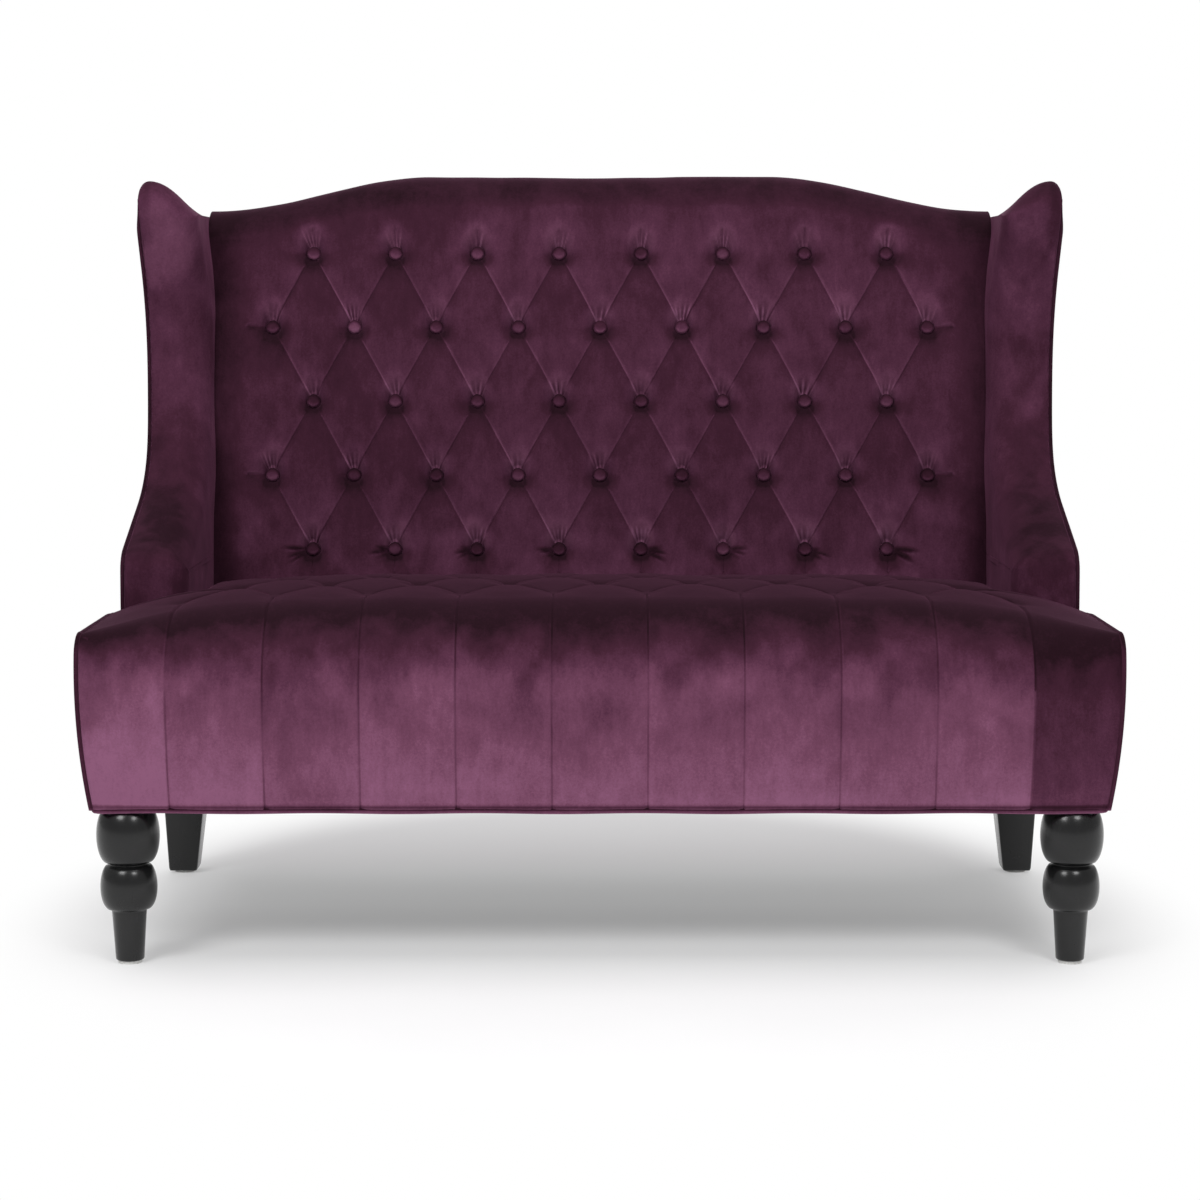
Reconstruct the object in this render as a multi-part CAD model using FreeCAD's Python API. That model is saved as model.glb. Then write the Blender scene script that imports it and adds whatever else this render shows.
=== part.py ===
import FreeCAD, Part
import math
import os

Vec = FreeCAD.Vector

# Overall size, millimetres
overall_width = 1306.0
overall_depth = 740.0
overall_height = 1016.0
base_height = 197.0
seat_height = 470.5
body_inset = 15.0
recline = 8.0

# Cloth, cord and clearances
fabric = 2.0
soft_gap = 0.3
bore_gap = 0.4
welt_diameter = 6.0
wing_welt_diameter = 5.0
base_welt_diameter = 7.0
base_welt_corner = 12.0
dust_cover_thickness = 1.0

# Timber base
rail_height = 113.0
front_rail_thickness = 22.0
side_rail_thickness = 28.0
rear_rail_thickness = 28.0
rear_rail_setback = 40.0
front_rail_padding = 6.0
front_rail_end_gap = 2.0
corner_block_leg = 70.0
corner_block_height = 70.0
stretcher_width = 40.0
stretcher_height = 22.0
stretcher_columns = 3.5

# Back frame and back padding, measured forward from the rear plane
back_frame_thickness = 30.0
back_post_width = 40.0
back_lower_rail_height = 128.0
back_top_rail_height = 95.0
back_stile_width = 40.0
back_stile_columns = 1.75
back_foot_gap = 8.0
back_pad_front = 112.0
back_pad_bottom = 130.0
webbing_thickness = 1.2
webbing_width = 44.0
canvas_thickness = 0.8
crest_front_drop = 42.0
crest_rear_drop = 34.0
crest_peak_forward = 46.0
crest_shoulder_run = 328.7
crest_shoulder_drop = 49.0

# Tufts of the back
back_end_margin = 81.7
back_last_row = 276.67
back_row_count = 5
back_columns = 8
back_first_row = 116.0
back_tuft_depth = 26.0
back_pleat_depth = 15.0
back_channel_depth = 4.0
button_diameter = 20.0
button_edge = 3.0
button_dome = 4.0
tuft_flat = 22.0
back_puff_rise = 4.0
twine_diameter = 2.0
toggle_diameter = 6.0
toggle_length = 20.0

# Seat cushion and its blind tufts
seat_end_margin = 105.75
seat_rear_margin = 76.6
seat_row_count = 4
seat_columns = 10
seat_first_row = 148.0
seat_tuft_depth = 17.0
seat_pleat_depth = 9.0
seat_channel_depth = 4.0
seat_stitch_diameter = 8.0
seat_stitch_height = 1.2
seat_tuft_flat = 14.0
seat_end_drop = 51.0
seat_end_power = 6.0
seat_bulge_height = 350.0
seat_bulge_share = 0.5
seat_front_tuck = 18.0
seat_roll_depth = 114.0
seat_crown_setback = 254.0
seat_rear_fall = 22.0
seat_crown_reach = 280.0
seat_side_taper = 0.0138

# Springs
spring_wire = 4.0
spring_loop_width = 44.0
spring_loops = 18
spring_count_side = 5
clip_plate = 1.5
clip_width = 22.0
clip_reach = 13.0
tie_wire = 2.5
tie_margin = 30.0
insulator_thickness = 3.0

# Wings
wing_board = 38.0
wing_thickness = 84.0
wing_padding = 22.0
wing_roll = 24.0
arm_setback = 275.0
arm_corner_height = 481.0
arm_corner_radius = 30.0
arm_slope = 23.0
arm_slope_share = 0.2505
wing_sweep_share = 0.4547
ear_lean = 28.0
ear_drop = 16.0
ear_radius = 30.0
wing_top_fall = 14.0
ear_edge = 14.0
ear_shoulder = 47.0
ear_shoulder_drop = 26.0
ear_inner_drop = 46.0
post_top_below_ear = 90.0

# Legs
glide_height = 4.0
glide_diameter = 30.0
plate_thickness = 3.0
plate_side = 56.0
front_leg_inset = 38.0
front_leg_setback = 60.0
upper_ball_diameter = 80.0
upper_ball_height = 164.5
neck_diameter = 50.0
neck_height = 128.0
lower_ball_diameter = 72.0
lower_ball_height = 97.0
shank_top_diameter = 44.0
shank_top_height = 66.0
foot_diameter = 36.0
ball_top_diameter = 50.0
rear_leg_inset = 1.0
rear_leg_top_width = 72.0
rear_leg_top_depth = 68.0
rear_leg_foot_width = 41.0
rear_leg_foot_depth = 43.0
rear_leg_foot_inset = 2.0
rear_leg_rake = 46.0
rear_leg_edge = 3.0

# Fasteners
leg_bolt_diameter = 8.0
leg_bolt_in_leg = 45.0
leg_bolt_in_frame = 27.0
wood_screw_diameter = 4.0
wood_screw_length = 22.0
wood_screw_head = 8.0
plate_screw_offset = 21.0
frame_bolt_diameter = 8.0
frame_bolt_head = 14.0
frame_bolt_head_height = 5.0
frame_bolt_length = 58.0
rail_screw_diameter = 5.0
rail_screw_head = 10.0
rail_screw_head_height = 4.0
rail_screw_length = 75.0
rail_screw_spread = 60.0

# Levels and planes that follow from the sizes above
half_body = overall_width / 2 - body_inset
lean = math.radians(recline)
frame_bottom = base_height + base_welt_diameter + soft_gap
rail_top = frame_bottom + rail_height
cloth_bottom = frame_bottom
wing_plane = half_body - fabric
board_inner = wing_plane - wing_board
wing_inner = half_body - wing_thickness
pad_half = wing_inner - soft_gap
seat_front = -overall_depth / 2 + welt_diameter + soft_gap
seat_half = overall_width / 2 - welt_diameter / 2 - fabric
arm_front = -overall_depth / 2 + arm_setback
front_rail_face = seat_front + seat_front_tuck + fabric + front_rail_padding
front_rail_rear = front_rail_face + front_rail_thickness
wire_height = rail_top + clip_plate + spring_wire / 2
insulator_bottom = wire_height + spring_wire / 2 + clip_plate
seat_foam_bottom = insulator_bottom + insulator_thickness + soft_gap
frame_front = fabric + back_frame_thickness
canvas_back = frame_front + 2 * webbing_thickness
canvas_front = canvas_back + canvas_thickness
crest_reach = back_pad_front - crest_peak_forward
crest_radius = (crest_front_drop ** 2 + crest_reach ** 2) / (2 * crest_front_drop)
crest_rise = overall_height - base_height - crest_peak_forward * math.sin(lean) - crest_radius
crest_v = crest_rise / math.cos(lean) + crest_radius
back_foot_y = overall_depth / 2 - (crest_v - crest_rear_drop) * math.sin(lean)
back_place = FreeCAD.Placement(
    Vec(0, back_foot_y, base_height), FreeCAD.Rotation(Vec(1, 0, 0), -recline)
)
crest_flat = pad_half - crest_shoulder_run
back_pitch = (pad_half - back_end_margin) / (back_columns / 2)
back_row_pitch = (crest_v - back_first_row - back_last_row) / (back_row_count - 1)
back_stile_x = back_stile_columns * back_pitch
seat_pitch = (seat_half - seat_end_margin) / ((seat_columns - 1) / 2)
seat_rear = back_foot_y + (seat_height - base_height) * math.tan(lean)
seat_rear -= (back_pad_front + back_puff_rise) / math.cos(lean)
seat_rows_depth = seat_rear - seat_rear_margin - seat_front - seat_first_row
seat_row_pitch = seat_rows_depth / (seat_row_count - 1)
stretcher_pitch = stretcher_columns * seat_pitch
back_rows = [crest_v - back_first_row - k * back_row_pitch for k in range(back_row_count)]
seat_rows = [seat_front + seat_first_row + k * seat_row_pitch for k in range(seat_row_count)]
spring_front_y = front_rail_face + front_rail_thickness / 2
ear_height = overall_height - ear_drop
arm_slope_length = arm_slope_share * (ear_height - arm_corner_height)
wing_sweep_radius = wing_sweep_share * (ear_height - arm_corner_height)
front_leg_x = half_body - front_leg_inset
rear_leg_outer_x = half_body - rear_leg_inset
front_leg_y = -overall_depth / 2 + front_leg_setback
leg_top = frame_bottom - plate_thickness
X_AXIS = Vec(1, 0, 0)
Y_AXIS = Vec(0, 1, 0)
Z_AXIS = Vec(0, 0, 1)


# Small building helpers

def save(name, shape):
    shape.exportStep("parts/" + name + ".step")


def box(x0, x1, y0, y1, z0, z1):
    return Part.makeBox(x1 - x0, y1 - y0, z1 - z0, Vec(x0, y0, z0))


def rod(diameter, length, start, direction):
    return Part.makeCylinder(diameter / 2, length, start, direction)


def mirrored(shape):
    return shape.mirror(Vec(0, 0, 0), X_AXIS)


def both_sides(shapes):
    return shapes + [mirrored(s) for s in shapes]


def group(shapes):
    return Part.makeCompound(shapes)


def reclined(shape):
    moved = shape.copy()
    moved.Placement = back_place.multiply(moved.Placement)
    return moved


def polygon(points):
    return Part.makePolygon(points + [points[0]])


def prism(wire, along):
    return Part.Face(wire).extrude(along)


def arcs(points, middles):
    steps = zip(points[:-1], middles, points[1:])
    return [Part.Arc(a, m, b).toShape() for a, m, b in steps]


def lines(points):
    return [Part.makeLine(a, b) for a, b in zip(points[:-1], points[1:])]


def cord(path, diameter):
    edge = path.Edges[0]
    start = edge.valueAt(edge.FirstParameter)
    along = edge.tangentAt(edge.FirstParameter)
    ring = Part.Wire([Part.makeCircle(diameter / 2, start, along)])
    return path.makePipeShell([ring], True, False)


def back_plane_y(z, forward):
    up = (z - base_height - forward * math.sin(lean)) / math.cos(lean)
    return back_foot_y + up * math.sin(lean) - forward * math.cos(lean)


# Shape of the tufting: columns of the first row lie half a pitch from the middle

def column_distance(x, pitch):
    share = x / pitch
    return abs(1 - 2 * (share - math.floor(share))) * pitch / 2


def column_phase(x, pitch, flat):
    share = (column_distance(x, pitch) - flat / 2) / (pitch / 2 - flat)
    return min(1.0, max(0.0, share))


def channel_share(x, pitch):
    return max(0.0, 1 - column_distance(x, pitch) / (pitch / 4))


def tuft_columns(row, columns, pitch):
    count = columns + row % 2
    return [(k - (count - 1) / 2) * pitch for k in range(count)]


def tuft_vertices(x, rows, pitch, flat, tuft_depth, pleat_depth, fade):
    phase = column_phase(x, pitch, flat)
    half = math.copysign(flat / 2, rows[1] - rows[0])
    valley = pleat_depth + (tuft_depth - pleat_depth) * (2 * phase - 1) ** 2
    last_share = 2 * phase - 1 if len(rows) % 2 == 0 else 1 - 2 * phase
    found = [(rows[0] - half, fade * tuft_depth * max(0.0, 1 - 2 * phase))]
    for k in range(len(rows) - 1):
        share = phase if k % 2 == 0 else 1 - phase
        low = rows[k] + half
        high = rows[k + 1] - half
        found.append((low + share * (high - low), fade * valley))
    found.append((rows[-1] + half, fade * tuft_depth * max(0.0, last_share)))
    return found


puff_power = 0.7
puff_reach = 1.5
least_bulge = 0.4


def puff_middles(vertices, flat, row_pitch):
    found = []
    for (s0, d0), (s1, d1) in zip(vertices[:-1], vertices[1:]):
        width = abs(s1 - s0)
        rise = max(0.0, width - flat) / (puff_reach * row_pitch)
        lift = min(1.0, rise) ** puff_power
        found.append(((s0 + s1) / 2, (d0 + d1) / 2 * (1 - lift) - least_bulge))
    return found


def end_fade(x, last_column, end):
    if abs(x) <= last_column:
        return 1.0
    return max(0.0, (end - abs(x)) / (end - last_column))


end_steps = 3


def section_stations(last_column, end, pitch, flat):
    step = pitch / 2
    columns = [k * step for k in range(int(round(last_column / step)) + 1)]
    right = [flat / 2]
    for inner, outer in zip(columns[:-1], columns[1:]):
        right += [(inner + outer) / 2, outer - flat / 2, outer + flat / 2]
    span = end - right[-1]
    right += [right[-1] + span * (k + 1) / end_steps for k in range(end_steps)]
    return [-x for x in reversed(right)] + right


# Seat cushion sections, each in a plane across the seat

seat_last_column = (seat_columns - 1) / 2 * seat_pitch
seat_last = seat_last_column + seat_tuft_flat / 2


def seat_drop(x):
    return seat_end_drop * (abs(x) / seat_half) ** seat_end_power


def seat_top(x, y):
    reach = (y - seat_front - seat_crown_setback) / seat_crown_reach
    return seat_height - seat_drop(x) - seat_rear_fall * reach ** 2


def seat_point(x, y, z):
    share = (seat_height - seat_end_drop - z) / (seat_height - seat_end_drop - cloth_bottom)
    return Vec(x * (1 - seat_side_taper * share), y, z)


def seat_roll(x, inset):
    channel = seat_channel_depth * channel_share(x, seat_pitch) * end_fade(x, seat_last, seat_half)
    y1 = seat_front + inset + channel
    z1 = seat_bulge_height - seat_bulge_share * seat_drop(x)
    y2 = seat_front + seat_roll_depth
    z2 = seat_top(x, y2) - inset - channel
    return y1, z1, y2, z2


def tangent_radius(across, rise):
    return (across ** 2 + rise ** 2) / (2 * across)


def seat_path(x, inset):
    y1, z1, y2, z2 = seat_roll(x, inset)
    y0 = y1 + seat_front_tuck
    z0 = cloth_bottom
    front_radius = tangent_radius(y0 - y1, z1 - z0)
    front_turn = math.asin((z1 - z0) / front_radius) / 2
    roll_radius = tangent_radius(y2 - y1, z2 - z1)
    roll_turn = math.atan2(z2 - z1, y1 + roll_radius - y2) / 2
    fade = end_fade(x, seat_last, seat_half)
    vertices = tuft_vertices(
        x, seat_rows, seat_pitch, seat_tuft_flat, seat_tuft_depth, seat_pleat_depth, fade
    )
    z3 = seat_height
    for settle in range(3):
        y3 = back_plane_y(z3, back_pad_front + back_puff_rise)
        z3 = seat_top(x, y3) - inset
    vertices = [(y2, seat_top(x, y2) - inset - z2)] + vertices + [(y3, 0.0)]
    middles = puff_middles(vertices, seat_tuft_flat, seat_row_pitch)
    points = [seat_point(x, y0, z0), seat_point(x, y1, z1)]
    points += [seat_point(x, y, seat_top(x, y) - inset - d) for y, d in vertices]
    y_front = y1 + front_radius * (1 - math.cos(front_turn))
    z_front = z1 - front_radius * math.sin(front_turn)
    y_roll = y1 + roll_radius * (1 - math.cos(roll_turn))
    z_roll = z1 + roll_radius * math.sin(roll_turn)
    bends = [seat_point(x, y_front, z_front), seat_point(x, y_roll, z_roll)]
    bends += [seat_point(x, y, seat_top(x, y) - inset - d) for y, d in middles]
    return points, bends


def seat_block_wire(x, inset):
    points, bends = seat_path(x, inset)
    rear_low = seat_point(x, back_plane_y(seat_foam_bottom, back_pad_front + back_puff_rise),
                          seat_foam_bottom)
    step_high = seat_point(x, front_rail_face - soft_gap, seat_foam_bottom)
    step_low = seat_point(x, front_rail_face - soft_gap, cloth_bottom)
    rest = lines([points[-1], rear_low, step_high, step_low, points[0]])
    return Part.Wire(arcs(points, bends) + rest)


def seat_band_wire(x):
    outer, outer_bends = seat_path(x, 0.0)
    inner, inner_bends = seat_path(x, fabric)
    inner.reverse()
    inner_bends.reverse()
    edges = arcs(outer, outer_bends) + lines([outer[-1], inner[0]])
    edges += arcs(inner, inner_bends) + lines([inner[-1], outer[0]])
    return Part.Wire(edges)


# Back cushion sections: y is minus the distance forward of the rear plane, z runs up the back

back_last_column = back_columns / 2 * back_pitch
back_last = back_last_column + tuft_flat / 2


def crest(x):
    share = (abs(x) - crest_flat) / (pad_half - crest_flat)
    share = min(1.0, max(0.0, share))
    return crest_v - crest_shoulder_drop * share ** 2 * (3 - 2 * share)


def back_point(x, forward, up):
    return Vec(x, -forward, up)


def half_way(across, fall):
    radius = tangent_radius(fall, abs(across))
    turn = math.asin(across / radius) / 2
    return radius * math.sin(turn), radius * (1 - math.cos(turn))


def back_path(x, inset):
    fade = end_fade(x, back_last, pad_half)
    channel = back_channel_depth * channel_share(x, back_pitch) * fade
    top = crest(x) - inset - channel / 2
    vertices = tuft_vertices(
        x, back_rows, back_pitch, tuft_flat, back_tuft_depth, back_pleat_depth, fade
    )
    vertices = [(top - crest_front_drop, channel)] + vertices + [(back_pad_bottom, 0.0)]
    middles = puff_middles(vertices, tuft_flat, back_row_pitch)
    front = back_pad_front - inset
    points = [back_point(x, fabric + soft_gap + inset, crest(x) - crest_rear_drop)]
    points.append(back_point(x, crest_peak_forward, top))
    points += [back_point(x, front - d, v) for v, d in vertices]
    bends = []
    for spot in (points[0], points[2]):
        across, fall = half_way(-spot.y - crest_peak_forward, top - spot.z)
        bends.append(back_point(x, crest_peak_forward + across, top - fall))
    bends += [back_point(x, front - d, v) for v, d in middles]
    return points, bends


def back_block_wire(x, inset):
    points, bends = back_path(x, inset)
    plane = canvas_front + soft_gap
    front_low = back_point(x, plane, back_pad_bottom)
    front_high = back_point(x, plane, crest(x) - crest_rear_drop)
    rest = lines([points[-1], front_low, front_high, points[0]])
    return Part.Wire(arcs(points, bends) + rest)


def back_band_wire(x):
    outer, outer_bends = back_path(x, 0.0)
    inner, inner_bends = back_path(x, fabric)
    inner.reverse()
    inner_bends.reverse()
    edges = arcs(outer, outer_bends) + lines([outer[-1], inner[0]])
    edges += arcs(inner, inner_bends) + lines([inner[-1], outer[0]])
    return Part.Wire(edges)


# Outline of a wing seen from the side, moved inwards by an offset

def heading(angle):
    turn = math.radians(angle)
    return Vec(0, math.cos(turn), math.sin(turn))


def left_of(angle):
    return heading(angle + 90)


ear_heading = 90 + ear_lean
corner_centre = Vec(0, arm_front + arm_corner_radius, arm_corner_height)
slope_start = corner_centre + left_of(arm_slope) * arm_corner_radius
slope_end = slope_start + heading(arm_slope) * arm_slope_length
sweep_centre = slope_end + left_of(arm_slope) * wing_sweep_radius
sweep_end = sweep_centre - left_of(ear_heading) * wing_sweep_radius
ear_rise = ear_height - ear_radius * (1 + math.sin(math.radians(ear_lean))) - sweep_end.z
ear_start = sweep_end + heading(ear_heading) * (ear_rise / math.cos(math.radians(ear_lean)))
ear_centre = ear_start - left_of(ear_heading) * ear_radius


def wing_rear(offset, forward):
    start = ear_centre + left_of(-wing_top_fall) * (ear_radius - offset)
    rear = start
    for settle in range(6):
        y = back_plane_y(rear.z, forward)
        rear = start + heading(-wing_top_fall) * ((y - start.y) / math.cos(math.radians(wing_top_fall)))
    return rear


def turn_arc(centre, radius, first, last, side):
    spots = [centre + left_of(a) * (radius * side) for a in (first, (first + last) / 2, last)]
    return Part.Arc(spots[0], spots[1], spots[2]).toShape()


def wing_front_edges(offset, bottom, forward):
    corner = arm_corner_radius - offset
    sweep = wing_sweep_radius + offset
    ear = ear_radius - offset
    foot = Vec(0, arm_front + offset, bottom)
    edges = lines([foot, corner_centre + left_of(90) * corner])
    edges.append(turn_arc(corner_centre, corner, 90, arm_slope, 1))
    edges += lines([corner_centre + left_of(arm_slope) * corner, sweep_centre - left_of(arm_slope) * sweep])
    edges.append(turn_arc(sweep_centre, sweep, arm_slope, ear_heading, -1))
    edges += lines([sweep_centre - left_of(ear_heading) * sweep, ear_centre + left_of(ear_heading) * ear])
    edges.append(turn_arc(ear_centre, ear, ear_heading, -wing_top_fall, 1))
    edges += lines([ear_centre + left_of(-wing_top_fall) * ear, wing_rear(offset, forward)])
    return edges


def wing_wire(offset, bottom, forward, toe):
    edges = wing_front_edges(offset, bottom, forward)
    heel = Vec(0, back_plane_y(toe.z, forward), toe.z)
    foot = Vec(0, arm_front + offset, bottom)
    if abs(toe.y - foot.y) < soft_gap and abs(toe.z - foot.z) < soft_gap:
        return Part.Wire(edges + lines([wing_rear(offset, forward), heel, foot]))
    shelf = Vec(0, toe.y, bottom)
    return Part.Wire(edges + lines([wing_rear(offset, forward), heel, toe, shelf, foot]))


def wing_slab(offset, bottom, forward, x0, x1):
    wire = wing_wire(offset, bottom, forward, Vec(0, arm_front + offset, bottom))
    wire.translate(Vec(x0, 0, 0))
    return prism(wire, X_AXIS * (x1 - x0))


def rolled(slab, x, radius, bottom, forward):
    chosen = []
    for edge in slab.Edges:
        spots = [edge.valueAt(p) for p in (edge.FirstParameter, edge.LastParameter)]
        middle = edge.valueAt((edge.FirstParameter + edge.LastParameter) / 2)
        inside = all(abs(p.x - x) < soft_gap for p in spots + [middle])
        low = middle.z < bottom + soft_gap
        rear = middle.y > back_plane_y(middle.z, forward) - soft_gap
        if inside and not low and not rear:
            chosen.append(edge)
    return slab.makeFillet(radius, chosen)


# Everything above the domed top of a wing, to be cut away

dome_before = 80.0
dome_rise = 150.0


def dome_wire(y, inner_z, inset):
    slope = math.tan(math.radians(wing_top_fall))
    ridge = ear_height - (y - ear_centre.y) * slope - inset
    inner = inner_z - inset
    ceiling = ear_height + dome_rise
    edge = wing_plane - ear_edge
    shoulder = edge - ear_shoulder
    share = (ridge - inner) / (ear_inner_drop + dome_before * slope)
    shoulder_z = ridge - ear_shoulder_drop * max(0.0, share)
    corner = ear_edge * (1 - math.sqrt(0.5))
    outside = wing_plane + wing_board
    inside = wing_inner - wing_board
    points = [Vec(wing_plane, y, ridge - ear_edge), Vec(edge, y, ridge), Vec(shoulder, y, shoulder_z)]
    middle = Vec(edge - ear_shoulder / 2, y, ridge - (ridge - shoulder_z) / 4 + least_bulge / 2)
    bends = [Vec(wing_plane - corner, y, ridge - corner), middle]
    lip = inner - (shoulder_z - inner) * (wing_inner - inside) / (shoulder - wing_inner)
    rest = lines([
        points[-1], Vec(inside, y, lip), Vec(inside, y, ceiling), Vec(outside, y, ceiling),
        Vec(outside, y, ridge - ear_edge), points[0],
    ])
    return Part.Wire(arcs(points, bends) + rest)


def dome_cut(inset):
    inner_z = ear_height - ear_inner_drop
    wires = [dome_wire(y, inner_z, inset) for y in (ear_centre.y - dome_before, overall_depth)]
    return Part.makeLoft(wires, True, True)


# Fasteners and the bores that they need in the timber

rear_leg_x = rear_leg_outer_x - rear_leg_top_width / 2
rear_leg_y = back_plane_y(frame_bottom, fabric) - rear_leg_top_depth / 2
leg_spots = [(front_leg_x, front_leg_y), (rear_leg_x, rear_leg_y)]
side_rail_inner = board_inner - side_rail_thickness
rear_rail_rear = back_plane_y(frame_bottom, frame_front) - rear_rail_setback + rear_rail_thickness
rear_rail_front = rear_rail_rear - rear_rail_thickness
bolt_level = (frame_bottom + rail_top) / 2
screw_levels = [bolt_level - rail_screw_spread / 2, bolt_level + rail_screw_spread / 2]
side_bolt_stations = [front_rail_rear + k * (rear_rail_front - front_rail_rear) / 4 for k in (1, 2, 3)]
post_top_z = ear_height - post_top_below_ear
post_top = (post_top_z - base_height) / math.cos(lean)
post_bolt_levels = [post_top * share for share in (0.45, 0.75)]
post_middle = fabric + back_frame_thickness / 2

leg_bolts = []
leg_sockets = []
plate_screws = []
plate_bores = []
plate_sinks = []
for x, y in leg_spots:
    low = Vec(x, y, leg_top - leg_bolt_in_leg)
    reach = leg_bolt_in_leg + plate_thickness + leg_bolt_in_frame
    leg_bolts.append(rod(leg_bolt_diameter, reach, low, Z_AXIS))
    leg_sockets.append(rod(leg_bolt_diameter + bore_gap, reach + bore_gap, low, Z_AXIS))
    for sx in (-1, 1):
        for sy in (-1, 1):
            spot = Vec(x + sx * plate_screw_offset, y + sy * plate_screw_offset, leg_top)
            head = Part.makeCone(wood_screw_head / 2, wood_screw_diameter / 2, plate_thickness, spot, Z_AXIS)
            above = spot + Z_AXIS * plate_thickness
            shank = rod(wood_screw_diameter, wood_screw_length, above, Z_AXIS)
            plate_screws.append(head.fuse(shank))
            plate_sinks.append(head)
            plate_bores.append(shank)
leg_bolts = both_sides(leg_bolts)
leg_sockets = both_sides(leg_sockets)
plate_screws = both_sides(plate_screws)
plate_bores = both_sides(plate_bores)

frame_bolts = []
frame_bolt_bores = []
for y in side_bolt_stations:
    start = Vec(side_rail_inner - frame_bolt_head_height, y, bolt_level)
    head = rod(frame_bolt_head, frame_bolt_head_height, start, X_AXIS)
    shank = rod(frame_bolt_diameter, frame_bolt_length, Vec(side_rail_inner, y, bolt_level), X_AXIS)
    frame_bolts.append(head.fuse(shank))
    frame_bolt_bores.append(shank)
for v in post_bolt_levels:
    post_inner = board_inner - back_post_width
    start = Vec(post_inner - frame_bolt_head_height, -post_middle, v)
    head = rod(frame_bolt_head, frame_bolt_head_height, start, X_AXIS)
    shank = rod(frame_bolt_diameter, frame_bolt_length, Vec(post_inner, -post_middle, v), X_AXIS)
    frame_bolts.append(reclined(head.fuse(shank)))
    frame_bolt_bores.append(reclined(shank))
frame_bolts = both_sides(frame_bolts)
frame_bolt_bores = both_sides(frame_bolt_bores)

rail_screws = []
for z in screw_levels:
    start = Vec(board_inner - side_rail_thickness / 2, front_rail_face, z)
    head = rod(rail_screw_head, rail_screw_head_height, start, Y_AXIS)
    shank = rod(rail_screw_diameter, rail_screw_length, start, Y_AXIS)
    rail_screws.append(head.fuse(shank))
    start = Vec(board_inner, rear_rail_rear - rear_rail_thickness / 2, z)
    head = rod(rail_screw_head, rail_screw_head_height, start, -X_AXIS)
    shank = rod(rail_screw_diameter, rail_screw_length, start, -X_AXIS)
    rail_screws.append(head.fuse(shank))
rail_screws = both_sides(rail_screws)
bores = group(leg_sockets + plate_bores + frame_bolt_bores + rail_screws)


def bored(timber):
    return timber.cut(bores)


# Timber base

rail_reach = wing_plane - front_rail_end_gap
front_rail = bored(box(-rail_reach, rail_reach, front_rail_face, front_rail_rear, frame_bottom, rail_top))
side_wire = polygon([
    Vec(side_rail_inner, front_rail_rear, frame_bottom),
    Vec(side_rail_inner, back_plane_y(frame_bottom, frame_front), frame_bottom),
    Vec(side_rail_inner, back_plane_y(rail_top, frame_front), rail_top),
    Vec(side_rail_inner, front_rail_rear, rail_top),
])
side_rail = bored(prism(side_wire, X_AXIS * side_rail_thickness))
rear_rail = bored(box(-side_rail_inner, side_rail_inner, rear_rail_front, rear_rail_rear,
                      frame_bottom, rail_top))
block_low = bolt_level - corner_block_height / 2
front_block = prism(polygon([
    Vec(side_rail_inner, front_rail_rear, block_low),
    Vec(side_rail_inner - corner_block_leg, front_rail_rear, block_low),
    Vec(side_rail_inner, front_rail_rear + corner_block_leg, block_low),
]), Z_AXIS * corner_block_height)
rear_block = prism(polygon([
    Vec(side_rail_inner, rear_rail_front, block_low),
    Vec(side_rail_inner - corner_block_leg, rear_rail_front, block_low),
    Vec(side_rail_inner, rear_rail_front - corner_block_leg, block_low),
]), Z_AXIS * corner_block_height)
stretcher = box(stretcher_pitch / 2 - stretcher_width / 2, stretcher_pitch / 2 + stretcher_width / 2,
                front_rail_rear, rear_rail_front, frame_bottom, frame_bottom + stretcher_height)

# Back frame

post = box(board_inner - back_post_width, board_inner, -frame_front, -fabric, back_foot_gap, post_top)
back_post = bored(reclined(post))
rail_half = board_inner - back_post_width
back_lower_rail = reclined(box(-rail_half, rail_half, -frame_front, -fabric,
                               back_foot_gap, back_lower_rail_height))
crest_samples = 25
crest_run = [pad_half * (2 * k / (crest_samples - 1) - 1) for k in range(crest_samples)]
rail_rise = crest_rear_drop + soft_gap
camel = Part.BSplineCurve()
camel.interpolate([Vec(x, -frame_front, crest(x) - rail_rise) for x in crest_run])
rail_end = crest(pad_half) - rail_rise
rail_low = post_top - back_top_rail_height
top_rail_edges = lines([
    Vec(pad_half, -frame_front, rail_end), Vec(pad_half, -frame_front, post_top),
    Vec(rail_half, -frame_front, post_top), Vec(rail_half, -frame_front, rail_low),
    Vec(-rail_half, -frame_front, rail_low), Vec(-rail_half, -frame_front, post_top),
    Vec(-pad_half, -frame_front, post_top), Vec(-pad_half, -frame_front, rail_end),
])
top_rail_blank = prism(Part.Wire(top_rail_edges + [camel.toShape()]), Y_AXIS * back_frame_thickness)
stile = box(back_stile_x - back_stile_width / 2, back_stile_x + back_stile_width / 2,
            -frame_front, -fabric, back_lower_rail_height, rail_low)
back_stiles = reclined(group(both_sides([stile])))

# Webbing, canvas and the tufting of the back

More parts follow.
